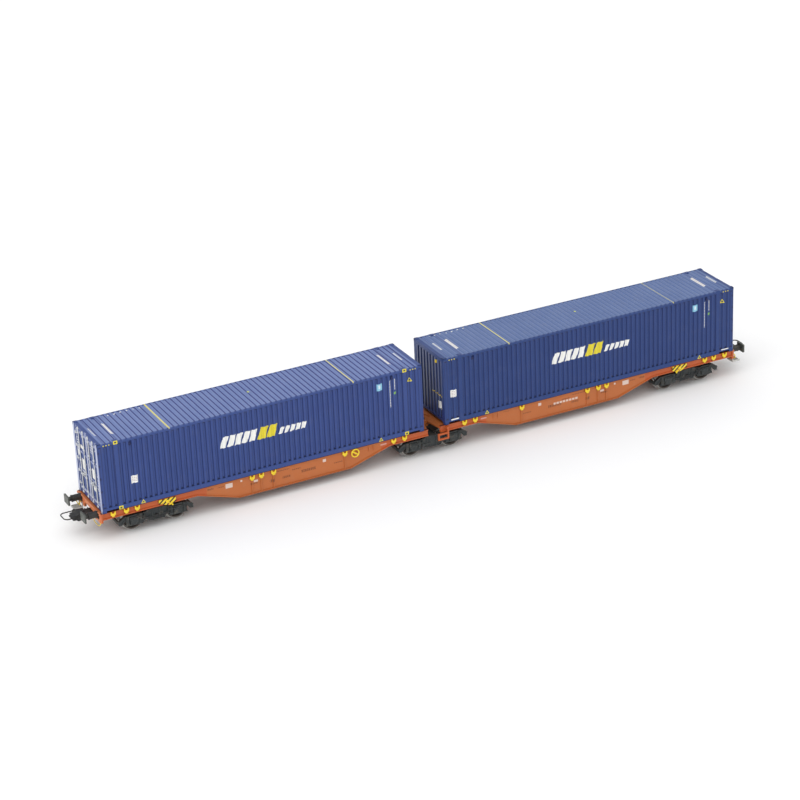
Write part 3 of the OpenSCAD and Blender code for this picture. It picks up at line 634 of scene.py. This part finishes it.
def frame_finish(half):
    """Orange lacquer of the wagon's frame, with rows of small blank marks on the side webs, painted shade and
    a painted highlight.
    """
    f = moulded(f"frame_lacquer_{half}", ORANGE, 0.4, HALVES[half], 2.2, 0.08)
    side = abs(f.v) > edge - 1.4
    dashes = (f.u.wrap(0.9) > 0.28) * (f.z.wrap(0.5) > 0.16)
    f.paint(panels(f, f.u, f.z, DARK_DASHES) * side * dashes * 0.92, ink(62, 28, 20))
    white = panels(f, f.u, f.z, PALE_PLATES)
    if half == "b":
        white = white | f.panel(f.u, f.z, (70.0, 10.2), (13.0, 1.0)) * (f.u.wrap(1.7) > 0.45)
    f.paint(white * side * 0.8, ink(222, 208, 198))
    # Painted shade on the side webs of the shallow ends
    shallow = (f.u < belly_ends[0]) | (f.u > belly_ends[1])
    f.paint(shallow * side * 0.45, ink(186, 66, 26))
    # Painted shadow: a dark line along the webs' tops, under the containers
    f.paint(f.z.near(deck_top, 0.14) * side * 0.8, ink(60, 22, 14))
    # Painted highlight on the headstock's outer face
    f.paint((f.u > half_len - 0.05) * 0.6, ink(232, 142, 98))
    low = f.z.ease(belly_z - 1, belly_z + 2, 0.3, 0.0)
    f.paint(low, ink(130, 52, 26))
    return f.coated(0.012, 0.08)


def plain_finish(name, colour, roughness, grain=1.5, dirt=0.2, metallic=0.0, bump=0.02, edge_colour=None):
    """A moulded or metal finish with no marks; its outer edges may take another colour, as wear and as a
    painted highlight.
    """
    f = moulded(name, colour, roughness, 1, grain, dirt)
    if edge_colour:
        # Outer edges painted lighter: wear, and a painted highlight
        f.paint(f.worn_and_lit_edge(0.12) * f.noise(0.8).ease(0.35, 0.6), edge_colour)
    return f.coated(bump, 0.06, Metallic=metallic)


def hazard_finish():
    """Yellow enamel with slanting dark stripes."""
    f = moulded("hazard_enamel", YELLOW, 0.4, 1, 1.5, 0.1)
    slant = f.z - f.u * 0.8
    f.paint(slant.wrap(2.1) > 1.2, ink(40, 32, 28))
    gap = (abs(f.u) + f.z * 0.7).wrap(3.6) > 3.0
    f.paint(gap * (f.z < (panel_low[2] + panel_high[2]) / 2), ORANGE)
    return f.coated(0.015, 0.06)


def wheel_finish():
    """Blackened wheels whose treads and flanges are polished bright."""
    f = moulded("wheel_steel", ink(70, 62, 56), 0.5, 1, 1.2, 0.2)
    v = abs(f.v)
    lateral = (v > 7.1) * (v < 10.1)
    # The distance along from whichever axle is nearest, then straight from it
    axles = [centre + side * axle_x for centre in (-pivot_u, 0.0, pivot_u) for side in (-1, 1)]
    along = abs(f.u - axles[0])
    for axle in axles[1:]:
        along = f.math("MINIMUM", along, abs(f.u - axle))
    from_axle = f.math("SQRT", along * along + (f.z - axle_z) * (f.z - axle_z))
    bright = (from_axle > (wheel_high[2] - axle_z) - 1.25) * lateral
    f.paint(bright, ink(176, 174, 170))
    f.gloss = f.gloss - bright * 0.2
    return f.coated(0.01, 0.05, Metallic=bright * 0.9)


def buffer_finish():
    """Black plastic buffers with grey metal faces."""
    f = moulded("buffer_plastic", ink(44, 42, 40), 0.45, 1, 1.2, 0.15)
    face = abs(f.u) > buffer_high[0] - 0.75
    f.paint(face, ink(76, 79, 74))
    return f.coated(0.015, 0.06)


container_paint = {h: container_finish(h) for h in HALVES}
roof_paint = {h: roof_finish(h) for h in HALVES}
frame_lacquer = {h: frame_finish(h) for h in HALVES}
yellow_enamel = plain_finish("yellow_enamel", YELLOW, 0.4, dirt=0.08)
hazard_enamel = hazard_finish()
# The bogies' lighter edge colour is wear and a painted highlight
bogie_plastic = plain_finish("bogie_plastic", ink(44, 49, 50), 0.5, dirt=0.25, edge_colour=ink(112, 116, 114))
under_plastic = plain_finish("underframe_plastic", ink(52, 52, 52), 0.55, dirt=0.3)
wheel_steel = wheel_finish()
black_plastic = plain_finish("coupler_plastic", ink(36, 36, 38), 0.5, dirt=0.15)
black_wire = plain_finish("blackened_wire", ink(50, 48, 46), 0.35, dirt=0.1, metallic=0.6)
buffer_plastic = buffer_finish()
grey_plastic = plain_finish("step_plastic", ink(190, 190, 186), 0.5, dirt=0.2)
bright_metal = plain_finish("galvanised_bars", ink(205, 207, 208), 0.36, dirt=0.12, metallic=0.35)
white_plate = plain_finish("blank_plates", ink(225, 224, 218), 0.45, dirt=0.12)
# The seals' pale colour is a painted highlight along the door edges
seal_rubber = plain_finish("door_seals", ink(186, 190, 204), 0.6, dirt=0.1)
dark_fitting = plain_finish("dark_blue_fittings", ink(26, 36, 84), 0.45, dirt=0.05)

# Parts of a half wagon that are not in its own frame's or container's paint
FINISH_OF_PART = {
    "buffers": buffer_plastic, "spigots": yellow_enamel, "changeover_panels": hazard_enamel,
    "handbrake_wheel": yellow_enamel, "air_tank": under_plastic, "end_step": grey_plastic,
    "container_floor": under_plastic, "coupler": black_plastic, "bail": black_wire,
    "bogie_frame": bogie_plastic, "inner_wheelset": wheel_steel, "outer_wheelset": wheel_steel}

for node_name, node_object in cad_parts.items():
    half_name, _, part = node_name.partition("_")
    if half_name not in HALVES:
        chosen = bogie_plastic if "bogie" in node_name else wheel_steel
    elif part in FINISH_OF_PART:
        chosen = FINISH_OF_PART[part]
    elif part == "container_roof":
        chosen = roof_paint[half_name]
    elif part.startswith("container"):
        chosen = container_paint[half_name]
    else:
        chosen = frame_lacquer[half_name]
    node_object.data.materials.clear()
    node_object.data.materials.append(chosen)


# ---- Containers ----

casting = np.array([2.05, 1.86, 1.36])
casting_l, casting_w, casting_h = casting
plate_t = 0.22


def corner_casting(shell, u_out, u_way, z_out, z_way):
    """A corner casting whose outer corner is at u_out, the load's edge and z_out, with oval holes."""
    outer = np.array([u_out, load_edge, z_out]) + (u_way * 0.05, 0.05, z_way * 0.04)
    inner = outer - np.array([u_way, 1, z_way]) * casting
    low, high = np.minimum(outer, inner), np.maximum(outer, inner)
    middle = (low + high) / 2
    shell.pair(low + plate_t, high - plate_t, 0.05)
    shell.both_sides(
        pierced_plate(middle + (0, casting_w / 2 - plate_t, 0), (-1, 0, 0), (0, 0, 1),
                      (casting_l, casting_h), (1.0, 0.62), plate_t),
        pierced_plate(middle + (u_way * (casting_l / 2 - plate_t), 0, 0), (0, u_way, 0), (0, 0, 1),
                      (casting_w, casting_h), (0.55, 0.75), plate_t),
        pierced_plate(middle + (0, 0, z_way * (casting_h / 2 - plate_t)), (1, 0, 0), (0, z_way, 0),
                      (casting_l, casting_w), (1.1, 0.6), plate_t))


def castings(half):
    """Castings at the container's eight corners."""
    shell = Shell()
    for u, way in ((load_in, -1), (load_out, 1)):
        corner_casting(shell, u, way, load_top, 1)
        corner_casting(shell, u, way, deck_top + 0.04, -1)
    return fitting(half, "corner_castings", shell, container_paint[half])


bar_vs = (3.1, 8.6)
door_face = doors_high[0] - 0.6
bar_u = door_face + 0.32
bar_bottom, bar_top = doors_low[2] + 0.5, doors_high[2] - 0.2
door_bottom, door_top = doors_low[2] + 2.0, doors_high[2] - 1.9


def lock_gear(half):
    """Bright locking bars with their keepers, cams and folding handles."""
    shell = Shell()
    for v in bar_vs:
        ends = [(0.2, bar_bottom), (0.29, bar_bottom + 0.12), (0.29, bar_top - 0.12), (0.2, bar_top)]
        shell.both_sides(turned(ends, (bar_u, v, 0), (0, 0, 1), 12))
        for z in (bar_bottom + 0.5, bar_top - 0.7):
            shell.pair((bar_u - 0.3, v - 0.75, z - 0.4), (bar_u + 0.38, v + 0.75, z + 0.4), 0.15)
        for z in np.linspace(door_bottom + 1.2, door_top - 1.0, 5):
            shell.pair((door_face - 0.1, v - 0.62, z - 0.38), (bar_u + 0.42, v + 0.62, z + 0.38), 0.15)
        handle_z = door_bottom + 9.6 - (0.9 if v > 5 else 0)
        way = 1 if v < 5 else -1
        grip = [(bar_u + 0.3, v, handle_z), (bar_u + 0.45, v + way * 0.9, handle_z - 0.1),
                (bar_u + 0.4, v + way * 2.6, handle_z - 0.35), (bar_u + 0.42, v + way * 3.6, handle_z - 0.5)]
        shell.both_sides(wire(grip, 0.2))
        hub_v = v + way * 2.5
        shell.pair((door_face, hub_v - 0.35, handle_z - 0.9), (bar_u + 0.2, hub_v + 0.35, handle_z + 0.2),
                   0.12)
    return fitting(half, "lock_bars", shell, bright_metal)


def door_seals(half):
    """Rubber seals round both leaves, and the hinges down their outer edges."""
    seals, hinges = Shell(), Shell()
    low_v, high_v = 0.22, doors_high[1] - 0.25
    corners = [(low_v, door_bottom + 0.15), (high_v, door_bottom + 0.15),
               (high_v, door_top - 0.15), (low_v, door_top - 0.15)]
    for (v0, z0), (v1, z1) in zip(corners, corners[1:] + corners[:1]):
        seals.both_sides(bar((door_face + 0.1, v0, z0), (door_face + 0.1, v1, z1), 0.42, 0.3,
                             (1, 0, 0), 0.1))
    for z in np.linspace(door_bottom + 2.2, door_top - 2.2, 5):
        v = high_v + 0.2
        hinges.pair((door_face - 0.1, v - 1.5, z - 0.32), (door_face + 0.42, v, z + 0.32), 0.12)
        hinges.both_sides(turned([(0.18, -0.75), (0.3, -0.65), (0.3, 0.65), (0.18, 0.75)],
                                 (door_face + 0.3, v + 0.15, z), (0, 0, 1), 10))
    fitting(half, "door_seals", seals, seal_rubber)
    fitting(half, "door_hinges", hinges, bright_metal)


def door_plates(half):
    """Blank data plates on the doors."""
    shell = Shell()
    for v, z, w, h in ((5.9, 30.0, 2.6, 4.6), (-5.9, 30.0, 2.6, 4.6), (-5.9, 38.0, 3.4, 1.6),
                       (5.9, 22.6, 2.4, 1.8), (-11.0, 34.0, 1.5, 2.6)):
        shell.add(block((door_face - 0.05, v - w / 2, z - h / 2), (door_face + 0.2, v + w / 2, z + h / 2),
                        0.08))
    return fitting(half, "door_plates", shell, white_plate)


def wall_fittings(half):
    """Hinge straps round the outer corner posts and small ventilators under the top rails."""
    shell = Shell()
    for z in np.linspace(door_bottom + 2.2, door_top - 2.2, 5):
        shell.pair((load_out - 0.95, load_edge - 0.1, z - 0.42),
                   (load_out - 0.15, load_edge + 0.14, z + 0.42), 0.1)
    for u in (load_in + 15.2, load_out - 15.2):
        z = panel_top - 1.3
        shell.pair((u - 0.55, load_edge - 0.45, z - 0.9), (u + 0.55, load_edge + 0.1, z + 0.5), 0.14)
        for dz in (-0.55, -0.2, 0.15):
            shell.pair((u - 0.4, load_edge, z + dz - 0.08), (u + 0.4, load_edge + 0.2, z + dz + 0.08), 0.05)
    return fitting(half, "wall_fittings", shell, dark_fitting)


def roof_rails(half):
    """Rails that close the roof's troughs along both long edges, between the castings."""
    shell = Shell()
    top = load_top - 0.12
    stops = [wall_low[0], inner_posts[0] - 1.0, inner_posts[0] + 1.0,
             inner_posts[1] - 1.0, inner_posts[1] + 1.0, wall_high[0]]
    for start, end in zip(stops[::2], stops[1::2]):
        shell.pair((start, load_edge - 0.42, top - 0.42), (end, load_edge - 0.01, top), 0.06)
    return fitting(half, "roof_rails", shell, roof_paint[half])


def floor_bearers(half):
    """Cross bearers of folded channel under the container's floor."""
    shell = Shell()
    floor_low, _ = span_of("b_container_floor")
    z = floor_low[2]
    for u in np.arange(floor_low[0] + 3, load_out - 4, 4.6):
        shell.add(block((u - 0.5, -load_edge + 1.4, z - 0.32), (u + 0.5, load_edge - 1.4, z + 0.1), 0.1))
    return fitting(half, "floor_bearers", shell, container_paint[half])


# ---- Fittings on the frame ----

spigot_us = np.array([15.6, 21.2, 46.0, *(half_len - np.array([5.6, 11.8, 16.9, 72.0, 76.5, 82.5]))])


def spigots(half):
    """Swing-down lashing spigots: a tapering tongue, a cross block and two prongs that lean apart."""
    shell = Shell()
    low, top = spigot_low[2], spigot_high[2]
    for u in spigot_us:
        tongue = [(u, edge + 0.32, low), (u, edge + 0.34, low + 0.25), (u, edge + 0.34, low + 1.2)]
        shell.both_sides(swept(tongue, rounded(1.5, 0.64, 0.2), np.array([0.7, 0.95, 1.15]), (0, 1, 0)))
        shell.pair((u - 1.17, edge + 0.02, low + 0.7), (u + 1.17, edge + 0.69, low + 1.55), 0.16)
        for way in (-1, 1):
            prong = [(u + way * 0.8, edge + 0.35, low + 1.3), (u + way * 0.86, edge + 0.4, low + 1.8),
                     (u + way * 0.98, edge + 0.48, top + 0.05)]
            shell.both_sides(swept(prong, rounded(0.6, 0.62, 0.14), np.array([1.1, 1.0, 0.75]), (0, 1, 0)))
        shell.both_sides(turned([(0.36, 0), (0.36, 0.14), (0.2, 0.22)], (u, edge + 0.62, low + 1.16),
                                (0, 1, 0), 12))
    made = fitting(half, "lashing_spigots", shell, yellow_enamel)
    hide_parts(f"{half}_spigots")


def handles(half):
    """Bent wire handles under the headstock and at the corners of the frame."""
    shell = Shell()
    low = head_low[2]
    front = half_len + 0.35
    shell.add(wire([(front - 0.3, 13.0, low + 0.5), (front, 12.8, low - 0.5), (front + 0.1, 10.6, low - 1.6),
                    (front + 0.1, 6.0, low - 1.3), (front - 0.3, 4.4, low + 0.5)], 0.17, (1, 0, 0)))
    shell.add(wire([(front, -12.8, low + 2.2), (front + 0.9, -12.9, low + 2.0),
                    (front + 1.0, -12.9, low + 0.2),
                    (front + 0.9, -9.2, low + 0.1), (front + 0.9, -8.9, low + 1.6), (front, -8.9, low + 2.2)],
                   0.2, (0.3, 1, 0.1)))
    return fitting(half, "wire_handles", shell, yellow_enamel)


def step_gear(half):
    """Grating bars and a rail along each side of the shunter's step."""
    shell = Shell()
    low, high = step_low, step_high
    for u in np.linspace(low[0] + 0.5, high[0] - 0.3, 8):
        shell.add(block((u - 0.14, low[1] + 0.2, low[2] + 0.35), (u + 0.14, high[1] - 0.2, low[2] + 0.72),
                        0.08))
    for v in (low[1] + 0.15, high[1] - 0.15):
        shell.add(block((low[0], v - 0.2, low[2] - 0.1), (high[0], v + 0.2, low[2] + 0.9), 0.1))
    return fitting(half, "step_grating", shell, grey_plastic)


def panel_gear(half):
    """A lever with a round knob and a pointer plate on each changeover panel."""
    shell = Shell()
    u = (panel_low[0] + panel_high[0]) / 2
    z = (panel_low[2] + panel_high[2]) / 2
    face = panel_high[1]
    shell.both_sides(turned([(0.8, 0), (0.8, 0.2), (0.45, 0.35), (0.4, 0.5)], (u, face - 0.02, z + 0.3),
                            (0, 1, 0), 18))
    shell.both_sides(bar((u, face + 0.4, z + 0.3), (u - 2.0, face + 0.45, z - 1.4), 0.34, 0.3, (0, 1, 0),
                         0.1))
    shell.both_sides(turned([(0.15, 0), (0.36, 0.15), (0.36, 0.4), (0.15, 0.55)],
                            (u - 2.1, face + 0.2, z - 1.45), (0, 1, 0), 12))
    return fitting(half, "changeover_levers", shell, yellow_enamel)


def buffer_gear(half):
    """Collars round the buffer sleeves and four bolts on each base."""
    shell = Shell()
    v, z = (buffer_high[1] - 2.75), (buffer_low[2] + buffer_high[2]) / 2
    reach = buffer_high[0] - half_len
    shell.both_sides(turned([(1.5, 0.4), (1.72, 0.55), (1.72, 0.9), (1.52, 1.05), (1.52, reach * 0.58),
                             (1.66, reach * 0.6), (1.66, reach * 0.66), (1.3, reach * 0.68)],
                            (half_len, v, z), (1, 0, 0), 24))
    for dv in (-1.35, 1.35):
        for dz in (-1.3, 0.45):
            shell.both_sides(turned([(0.28, 0.4), (0.28, 0.72), (0.16, 0.8)], (half_len, v + dv, z + dz),
                                    (1, 0, 0), 6))
    return fitting(half, "buffer_sleeves", shell, buffer_plastic)


def headstock_trim(half):
    """A folded lip along the headstock, stiffening ribs beside the mouth and lamp bracket stubs."""
    shell = Shell()
    top, low = head_high[2], head_low[2]
    shell.add(block((half_len - 0.15, -edge + 0.1, top - 0.45), (half_len + 0.35, edge - 0.1, top), 0.12))
    for v in (6.3, 7.6, 12.6):
        shell.pair((half_len - 0.05, v - 0.18, low + 0.2), (half_len + 0.3, v + 0.18, top - 0.4), 0.1)
    shell.pair((half_len - 0.05, 12.9, top - 0.9), (half_len + 0.6, 13.7, top - 0.3), 0.14)
    return fitting(half, "headstock_trim", shell, frame_lacquer[half])


def coupler_box(half):
    """The stepped housing round the coupler's shank, with its ribs and the spring above it."""
    shell = Shell()
    u0, u1 = coupler_low[0] + 5.2, half_len + 2.8
    z = bail_mid - 0.7
    shell.add(block((u0, -2.3, z - 1.0), (u1, 2.3, z + 0.95), 0.3))
    shell.add(block((u0 + 3.6, -2.7, z - 1.2), (u1 - 0.8, 2.7, z + 0.7), 0.25))
    for u in np.linspace(u0 + 1.2, u1 - 1.4, 4):
        shell.pair((u - 0.2, 2.15, z - 1.1), (u + 0.2, 2.85, z + 1.05), 0.08)
    shell.add(block((u1 - 0.4, -1.0, z + 0.6), (u1 + 3.2, 1.0, z + 1.75), 0.25))
    shell.add(block((half_len + 6.8, -2.3, z - 1.5), (half_len + 8.8, 2.3, z + 0.95), 0.3))
    shell.add(block((half_len + 8.3, -1.4, z - 0.5), (half_len + 9.5, 1.4, z + 0.35), 0.25))
    return fitting(half, "coupler_box", shell, black_plastic, "coupler")


def brake_gear(half):
    """Brake pipes, the cylinder, its valve and the long rigging rod between the bogies."""
    shell = Shell()
    u_in, u_out = beam_low[0] - 1.5, beam_high[0] + 1.5
    z = spine_high[2] - 2.2
    shell.add(wire([(u_in, 4.2, z), (u_in + 8, 4.3, z), (u_out - 8, 4.3, z), (u_out, 4.2, z)], 0.32,
                   (0, 0, 1), 10))
    shell.add(wire([(u_in, -4.2, z + 0.3), (u_in + 9, -4.0, z + 0.3), (u_out - 9, -4.0, z + 0.3),
                    (u_out, -4.4, z)],
                   0.28, (0, 0, 1), 10))
    rod_z = spine_low[2] - 0.55
    shell.add(turned([(0.3, 0), (0.3, 22), (0.75, 22.4), (0.75, 40), (0.3, 40.6), (0.3, 72), (0.2, 72.2)],
                     (u_in + 6, 0, rod_z), (1, 0, 0), 14))
    bay = (beam_high[0] - beam_low[0] - 1) / 5
    cylinder_u = beam_low[0] + 3 * bay + 2
    shell.add(turned([(0.9, 0), (1.9, 0.5), (2.2, 1.2), (2.2, 7.6), (2.45, 7.7), (2.45, 8.3), (1.7, 8.6),
                      (0.7, 9.4), (0.5, 12.4), (0.3, 12.5)],
                     (cylinder_u, 7.6, (tank_low[2] + tank_high[2]) / 2), (1, 0, 0), 24))
    valve_u = beam_low[0] + bay + 4
    valve_z = spine_low[2] + 1.6
    shell.add(block((valve_u, 6.0, valve_z), (valve_u + 4.5, 9.6, valve_z + 3.2), 0.5))
    shell.add(turned([(1.2, 0), (1.45, 0.3), (1.45, 1.0), (1.0, 1.4)], (valve_u + 2.2, 7.8, valve_z + 0.1),
                     (0, 0, -1), 18))
    shell.add(wire([(valve_u + 2.2, 6.2, valve_z + 2), (valve_u + 2.2, 5.0, valve_z + 2.2),
                    (valve_u + 2.2, 4.4, z)], 0.26))
    shell.add(wire([(tank_low[0] + 2, -tank_high[1] + 2.0, z + 1.2), (tank_low[0] + 2, -4.4, z + 1.0),
                    (tank_low[0] + 1.4, -4.0, z + 0.4)], 0.24))
    return fitting(half, "brake_gear", shell, under_plastic)


def tank_bands(half):
    """Straps round the air tank, each with a hanger up to the centre sill."""
    shell = Shell()
    middle = (tank_low + tank_high) / 2
    radius = (tank_high[2] - tank_low[2]) / 2
    base = (tank_low[0], middle[1], middle[2])
    length = tank_high[0] - tank_low[0]
    for at in (0.2, 0.8):
        shell.add(turned([(radius, length * at - 0.6), (radius + 0.18, length * at - 0.5),
                          (radius + 0.18, length * at + 0.5), (radius, length * at + 0.6)], base, (1, 0, 0),
                         28))
        shell.add(block((tank_low[0] + length * at - 0.4, middle[1] - 0.4, middle[2] + radius),
                        (tank_low[0] + length * at + 0.4, middle[1] + 0.4, spine_high[2] - 0.1), 0.1))
    return fitting(half, "tank_straps", shell, under_plastic)


# ---- Bogies ----

bogie_top = sill_high[2] - 4.4
spring_reach = 3.1
brake_beam_u = 3.3


def bogie_gear(name, body, middle_u):
    """Springs, axlebox covers, rims and brake rigging of one bogie, about its pivot."""
    shell, springs, rods = Shell(), Shell(), Shell()
    frame_out = axlebox_out - 0.9
    for u in (axle_x - spring_reach, axle_x + spring_reach):
        springs.both_ways(coil((u, frame_out - 0.1, axle_z - 1.2), 0.9, bogie_top - axle_z + 0.3, 0.17, 5.5))
        shell.both_ways(turned([(0.9, 0), (1.12, 0.1), (1.12, 0.42), (0.7, 0.6)],
                               (u, frame_out - 0.1, bogie_top - 0.95), (0, 0, 1), 16))
    shell.both_ways(turned([(1.55, 0), (1.55, 0.14), (1.2, 0.3), (1.1, 0.3), (1.0, 0.18), (0.5, 0.2),
                            (0.3, 0.3)],
                           (axle_x, axlebox_out - 0.25, axle_z), (0, 1, 0), 24))
    for turn in range(4):
        angle = np.pi / 4 + turn * np.pi / 2
        shell.both_ways(turned([(0.2, 0), (0.2, 0.2), (0.1, 0.26)],
                               (axle_x + 1.6 * np.cos(angle), axlebox_out - 0.35,
                                axle_z + 1.55 * np.sin(angle)),
                               (0, 1, 0), 6))
    top = np.array([(bogie_half, axle_z + 0.7), (bogie_half - 3, bogie_top - 0.75), (5.0, bogie_top - 0.75),
                    (4.0, bogie_top - 0.15), (0.0, bogie_top - 0.15)])
    under = np.array([(bogie_half - 1.3, axle_z - 0.8), (axle_x + 4.4, axle_z + 1.05),
                      (axle_x + 2.4, axle_z + 1.05)])
    belly = np.array([(axle_x - 2.4, axle_z + 1.05), (axle_x - 4.4, axle_z + 1.05), (3.6, axle_z - 1.7),
                      (0.0, axle_z - 1.7)])
    for line in (top, under, belly):
        path = np.stack([line[:, 0], np.full(len(line), frame_out + 0.05), line[:, 1]], -1)
        shell.both_ways(swept(path, rounded(0.55, 0.4, 0.1), 1.0, (0, 1, 0)))
    shell.both_ways(block((1.0, frame_out - 0.1, axle_z - 0.2), (5.4, frame_out + 0.35, axle_z + 0.35), 0.12))
    shell.both_ways(bar((4.6, frame_out + 0.3, axle_z + 0.1), (axle_x - 2.0, frame_out + 0.35, axle_z - 1.5),
                        0.5, 0.4, (0, 1, 0), 0.1))
    yoke = axle_z + 1.3
    shell.both_ways(block((axle_x - 2.3, frame_out + 0.1, yoke - 0.45),
                          (axle_x + 2.3, frame_out + 0.75, yoke), 0.14))
    for u in (axle_x - 1.7, axle_x + 1.7):
        shell.both_ways(block((u - 0.22, frame_out + 0.2, axle_z - 1.8),
                              (u + 0.22, frame_out + 0.8, yoke - 0.2), 0.1))
    shell.both_ways(bar((axle_x + 0.3, frame_out + 0.75, yoke - 0.2),
                        (axle_x - 4.6, frame_out + 0.55, yoke + 0.2), 0.5,
                        0.5, (0, 1, 0), 0.12))
    shell.both_ways(turned([(0.3, 0), (0.42, 0.1), (0.42, 1.5), (0.26, 1.6), (0.26, 2.4)],
                           (axle_x - 4.7, frame_out + 0.45, axle_z + 0.1), (0, 0, 1), 12))
    for u in (1.6, 3.0):
        shell.both_ways(block((u - 0.25, frame_out - 0.1, axle_z - 1.4),
                              (u + 0.25, frame_out + 0.25, bogie_top - 0.6), 0.1))
    for u in (5.6, 7.2, bogie_half - 2.4):
        shell.both_ways(turned([(0.22, 0), (0.22, 0.14), (0.1, 0.2)],
                               (u, frame_out - 0.02, bogie_top - 1.4), (0, 1, 0), 8))
    u = brake_beam_u
    rods.both_ways(bar((u, 0.05, axle_z - 0.7), (u, 9.4, axle_z - 0.7), 0.7, 0.5, (0, 0, 1), 0.12))
    rods.both_ways(bar((u + 0.5, 9.0, axle_z - 1.6), (u + 0.1, 9.0, axle_z + 3.0), 0.35, 0.5, (1, 0, 0), 0.1))
    rods.both_ways(bar((u + 0.6, 8.8, axle_z - 1.5), (u + 0.85, 8.8, axle_z + 1.6), 1.2, 0.45, (1, 0, 0),
                       0.15))
    rods.both_sides(bar((-3.4, 1.3, axle_z - 1.35), (3.4, 1.3, axle_z - 1.35), 0.4, 0.4, (0, 0, 1), 0.1))
    made = (("frame_trim", shell, bogie_plastic), ("coil_springs", springs, bogie_plastic),
            ("brake_rigging", rods, under_plastic))
    for part, parts_shell, finish in made:
        parts_shell.moved(middle_u)
        piece(f"{name}_{part}", parts_shell, body, finish)


bogie_gear("middle", "middle_bogie", 0.0)
bogie_gear("a", "bogie_a", -pivot_u)
bogie_gear("b", "bogie_b", pivot_u)


def bogie_hoses(half):
    """A rubber pipe that hangs in a shallow curve in front of each side frame of an outer bogie."""
    shell = Shell()
    v = axlebox_out + 0.12
    line = [(pivot_u + 9.6, v - 0.9, 8.6), (pivot_u + 7.4, v, 7.9), (pivot_u + 3.0, v + 0.1, 6.3),
            (pivot_u - 1.6, v + 0.1, 5.7), (pivot_u - 5.2, v, 6.6), (pivot_u - 7.4, v - 0.9, 8.2)]
    shell.both_sides(wire(line, 0.2, (0, 1, 0)))
    shell.pair((pivot_u - 0.5, v - 1.9, 6.4), (pivot_u + 0.5, v + 0.05, 6.9), 0.1)
    return fitting(half, "bogie_hoses", shell, black_plastic, "bogie")


def wire_loop(half):
    """The coupler's loop: one round wire, out along one arm, round the front and back."""
    width, length = bail_high[1] - bail_low[1], bail_high[0] - bail_low[0]
    u0, z = bail_low[0] + 0.75, (bail_low[2] + bail_high[2]) / 2
    r, v, u1 = 0.27, width / 2 - 0.3, bail_high[0] - 0.3
    corner = 2.0
    arc = [(u1 - corner + corner * np.sin(a), v - corner + corner * np.cos(a), z)
           for a in np.linspace(0, np.pi / 2, 5)]
    path = [(u0 - 0.5, v, z), (u0 + 1.5, v, z), *arc]
    path = np.array(path + [(p[0], -p[1], p[2]) for p in reversed(path)])
    shell = Shell().add(wire(path, r, (0, 0, 1), 10, 4))
    shell.both_sides(turned([(0.5, -0.3), (0.72, -0.22), (0.72, 0.22), (0.5, 0.3)], (u0, v, z), (0, 1, 0),
                            16))
    made = fitting(half, "loop_wire", shell, black_wire, "bail")
    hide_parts(f"{half}_bail")


for half_name in HALVES:
    for make in (castings, lock_gear, door_seals, door_plates, wall_fittings, roof_rails, floor_bearers,
                 spigots, handles, step_gear, panel_gear, buffer_gear, headstock_trim, coupler_box,
                 brake_gear, tank_bands, bogie_hoses, wire_loop):
        make(half_name)


# ---- Floor, lights and camera ----

def studio():
    """A pale floor under the wheels, broad soft lights and an even surround."""
    bpy.ops.mesh.primitive_plane_add(size=14.0, location=(0, 0, 0))
    floor = bpy.context.object
    floor.name = "floor"
    f = Finish("pale_floor", 1, Roughness=0.8)
    floor.data.materials.append(f.done(Base_Color=ink(250, 250, 250)))
    world = bpy.data.worlds.new("surround")
    bpy.context.scene.world = world
    world.use_nodes = True
    surround = world.node_tree.nodes["Background"].inputs
    surround["Color"].default_value = (1, 1, 1, 1)
    surround["Strength"].default_value = 0.8
    sun = bpy.data.lights.new("soft_sun", "SUN")
    sun.energy, sun.angle = 1.1, np.radians(70)
    panel = bpy.data.lights.new("end_panel", "AREA")
    panel.energy, panel.size = 3.0, 0.8
    for data, place in ((sun, (-0.35, -0.5, 1.0)), (panel, (-1.3, -0.25, 0.45))):
        light = bpy.data.objects.new(data.name, data)
        bpy.context.scene.collection.objects.link(light)
        light.location = place
        light.rotation_euler = (-light.location).to_track_quat("-Z", "Y").to_euler()


def camera():
    """A long lens turned, raised and rolled about the middle of the wagon."""
    turn, rise, roll = np.radians([-26.149, 24.788, -2.608])
    distance, lens, shift_x, shift_y = 1229.9, 118.91, -9.95, 20.56
    back = np.array([np.sin(turn) * np.cos(rise), -np.cos(turn) * np.cos(rise), np.sin(rise)])
    level = np.cross((0, 0, 1), back)
    level /= np.linalg.norm(level)
    upright = np.cross(back, level)
    right = np.cos(roll) * level + np.sin(roll) * upright
    up = np.cos(roll) * upright - np.sin(roll) * level
    place = (right * shift_x + up * shift_y + back * distance) * MM
    data = bpy.data.cameras.new("camera")
    data.sensor_width, data.lens = 36, lens
    data.clip_start, data.clip_end = 0.05, 20
    made = bpy.data.objects.new("camera", data)
    bpy.context.scene.collection.objects.link(made)
    rows = np.eye(4)
    rows[:3, 0], rows[:3, 1], rows[:3, 2], rows[:3, 3] = right, up, back, place
    made.matrix_world = Matrix(rows.tolist())
    bpy.context.scene.camera = made


studio()
camera()
bpy.context.scene.view_settings.view_transform = "Standard"
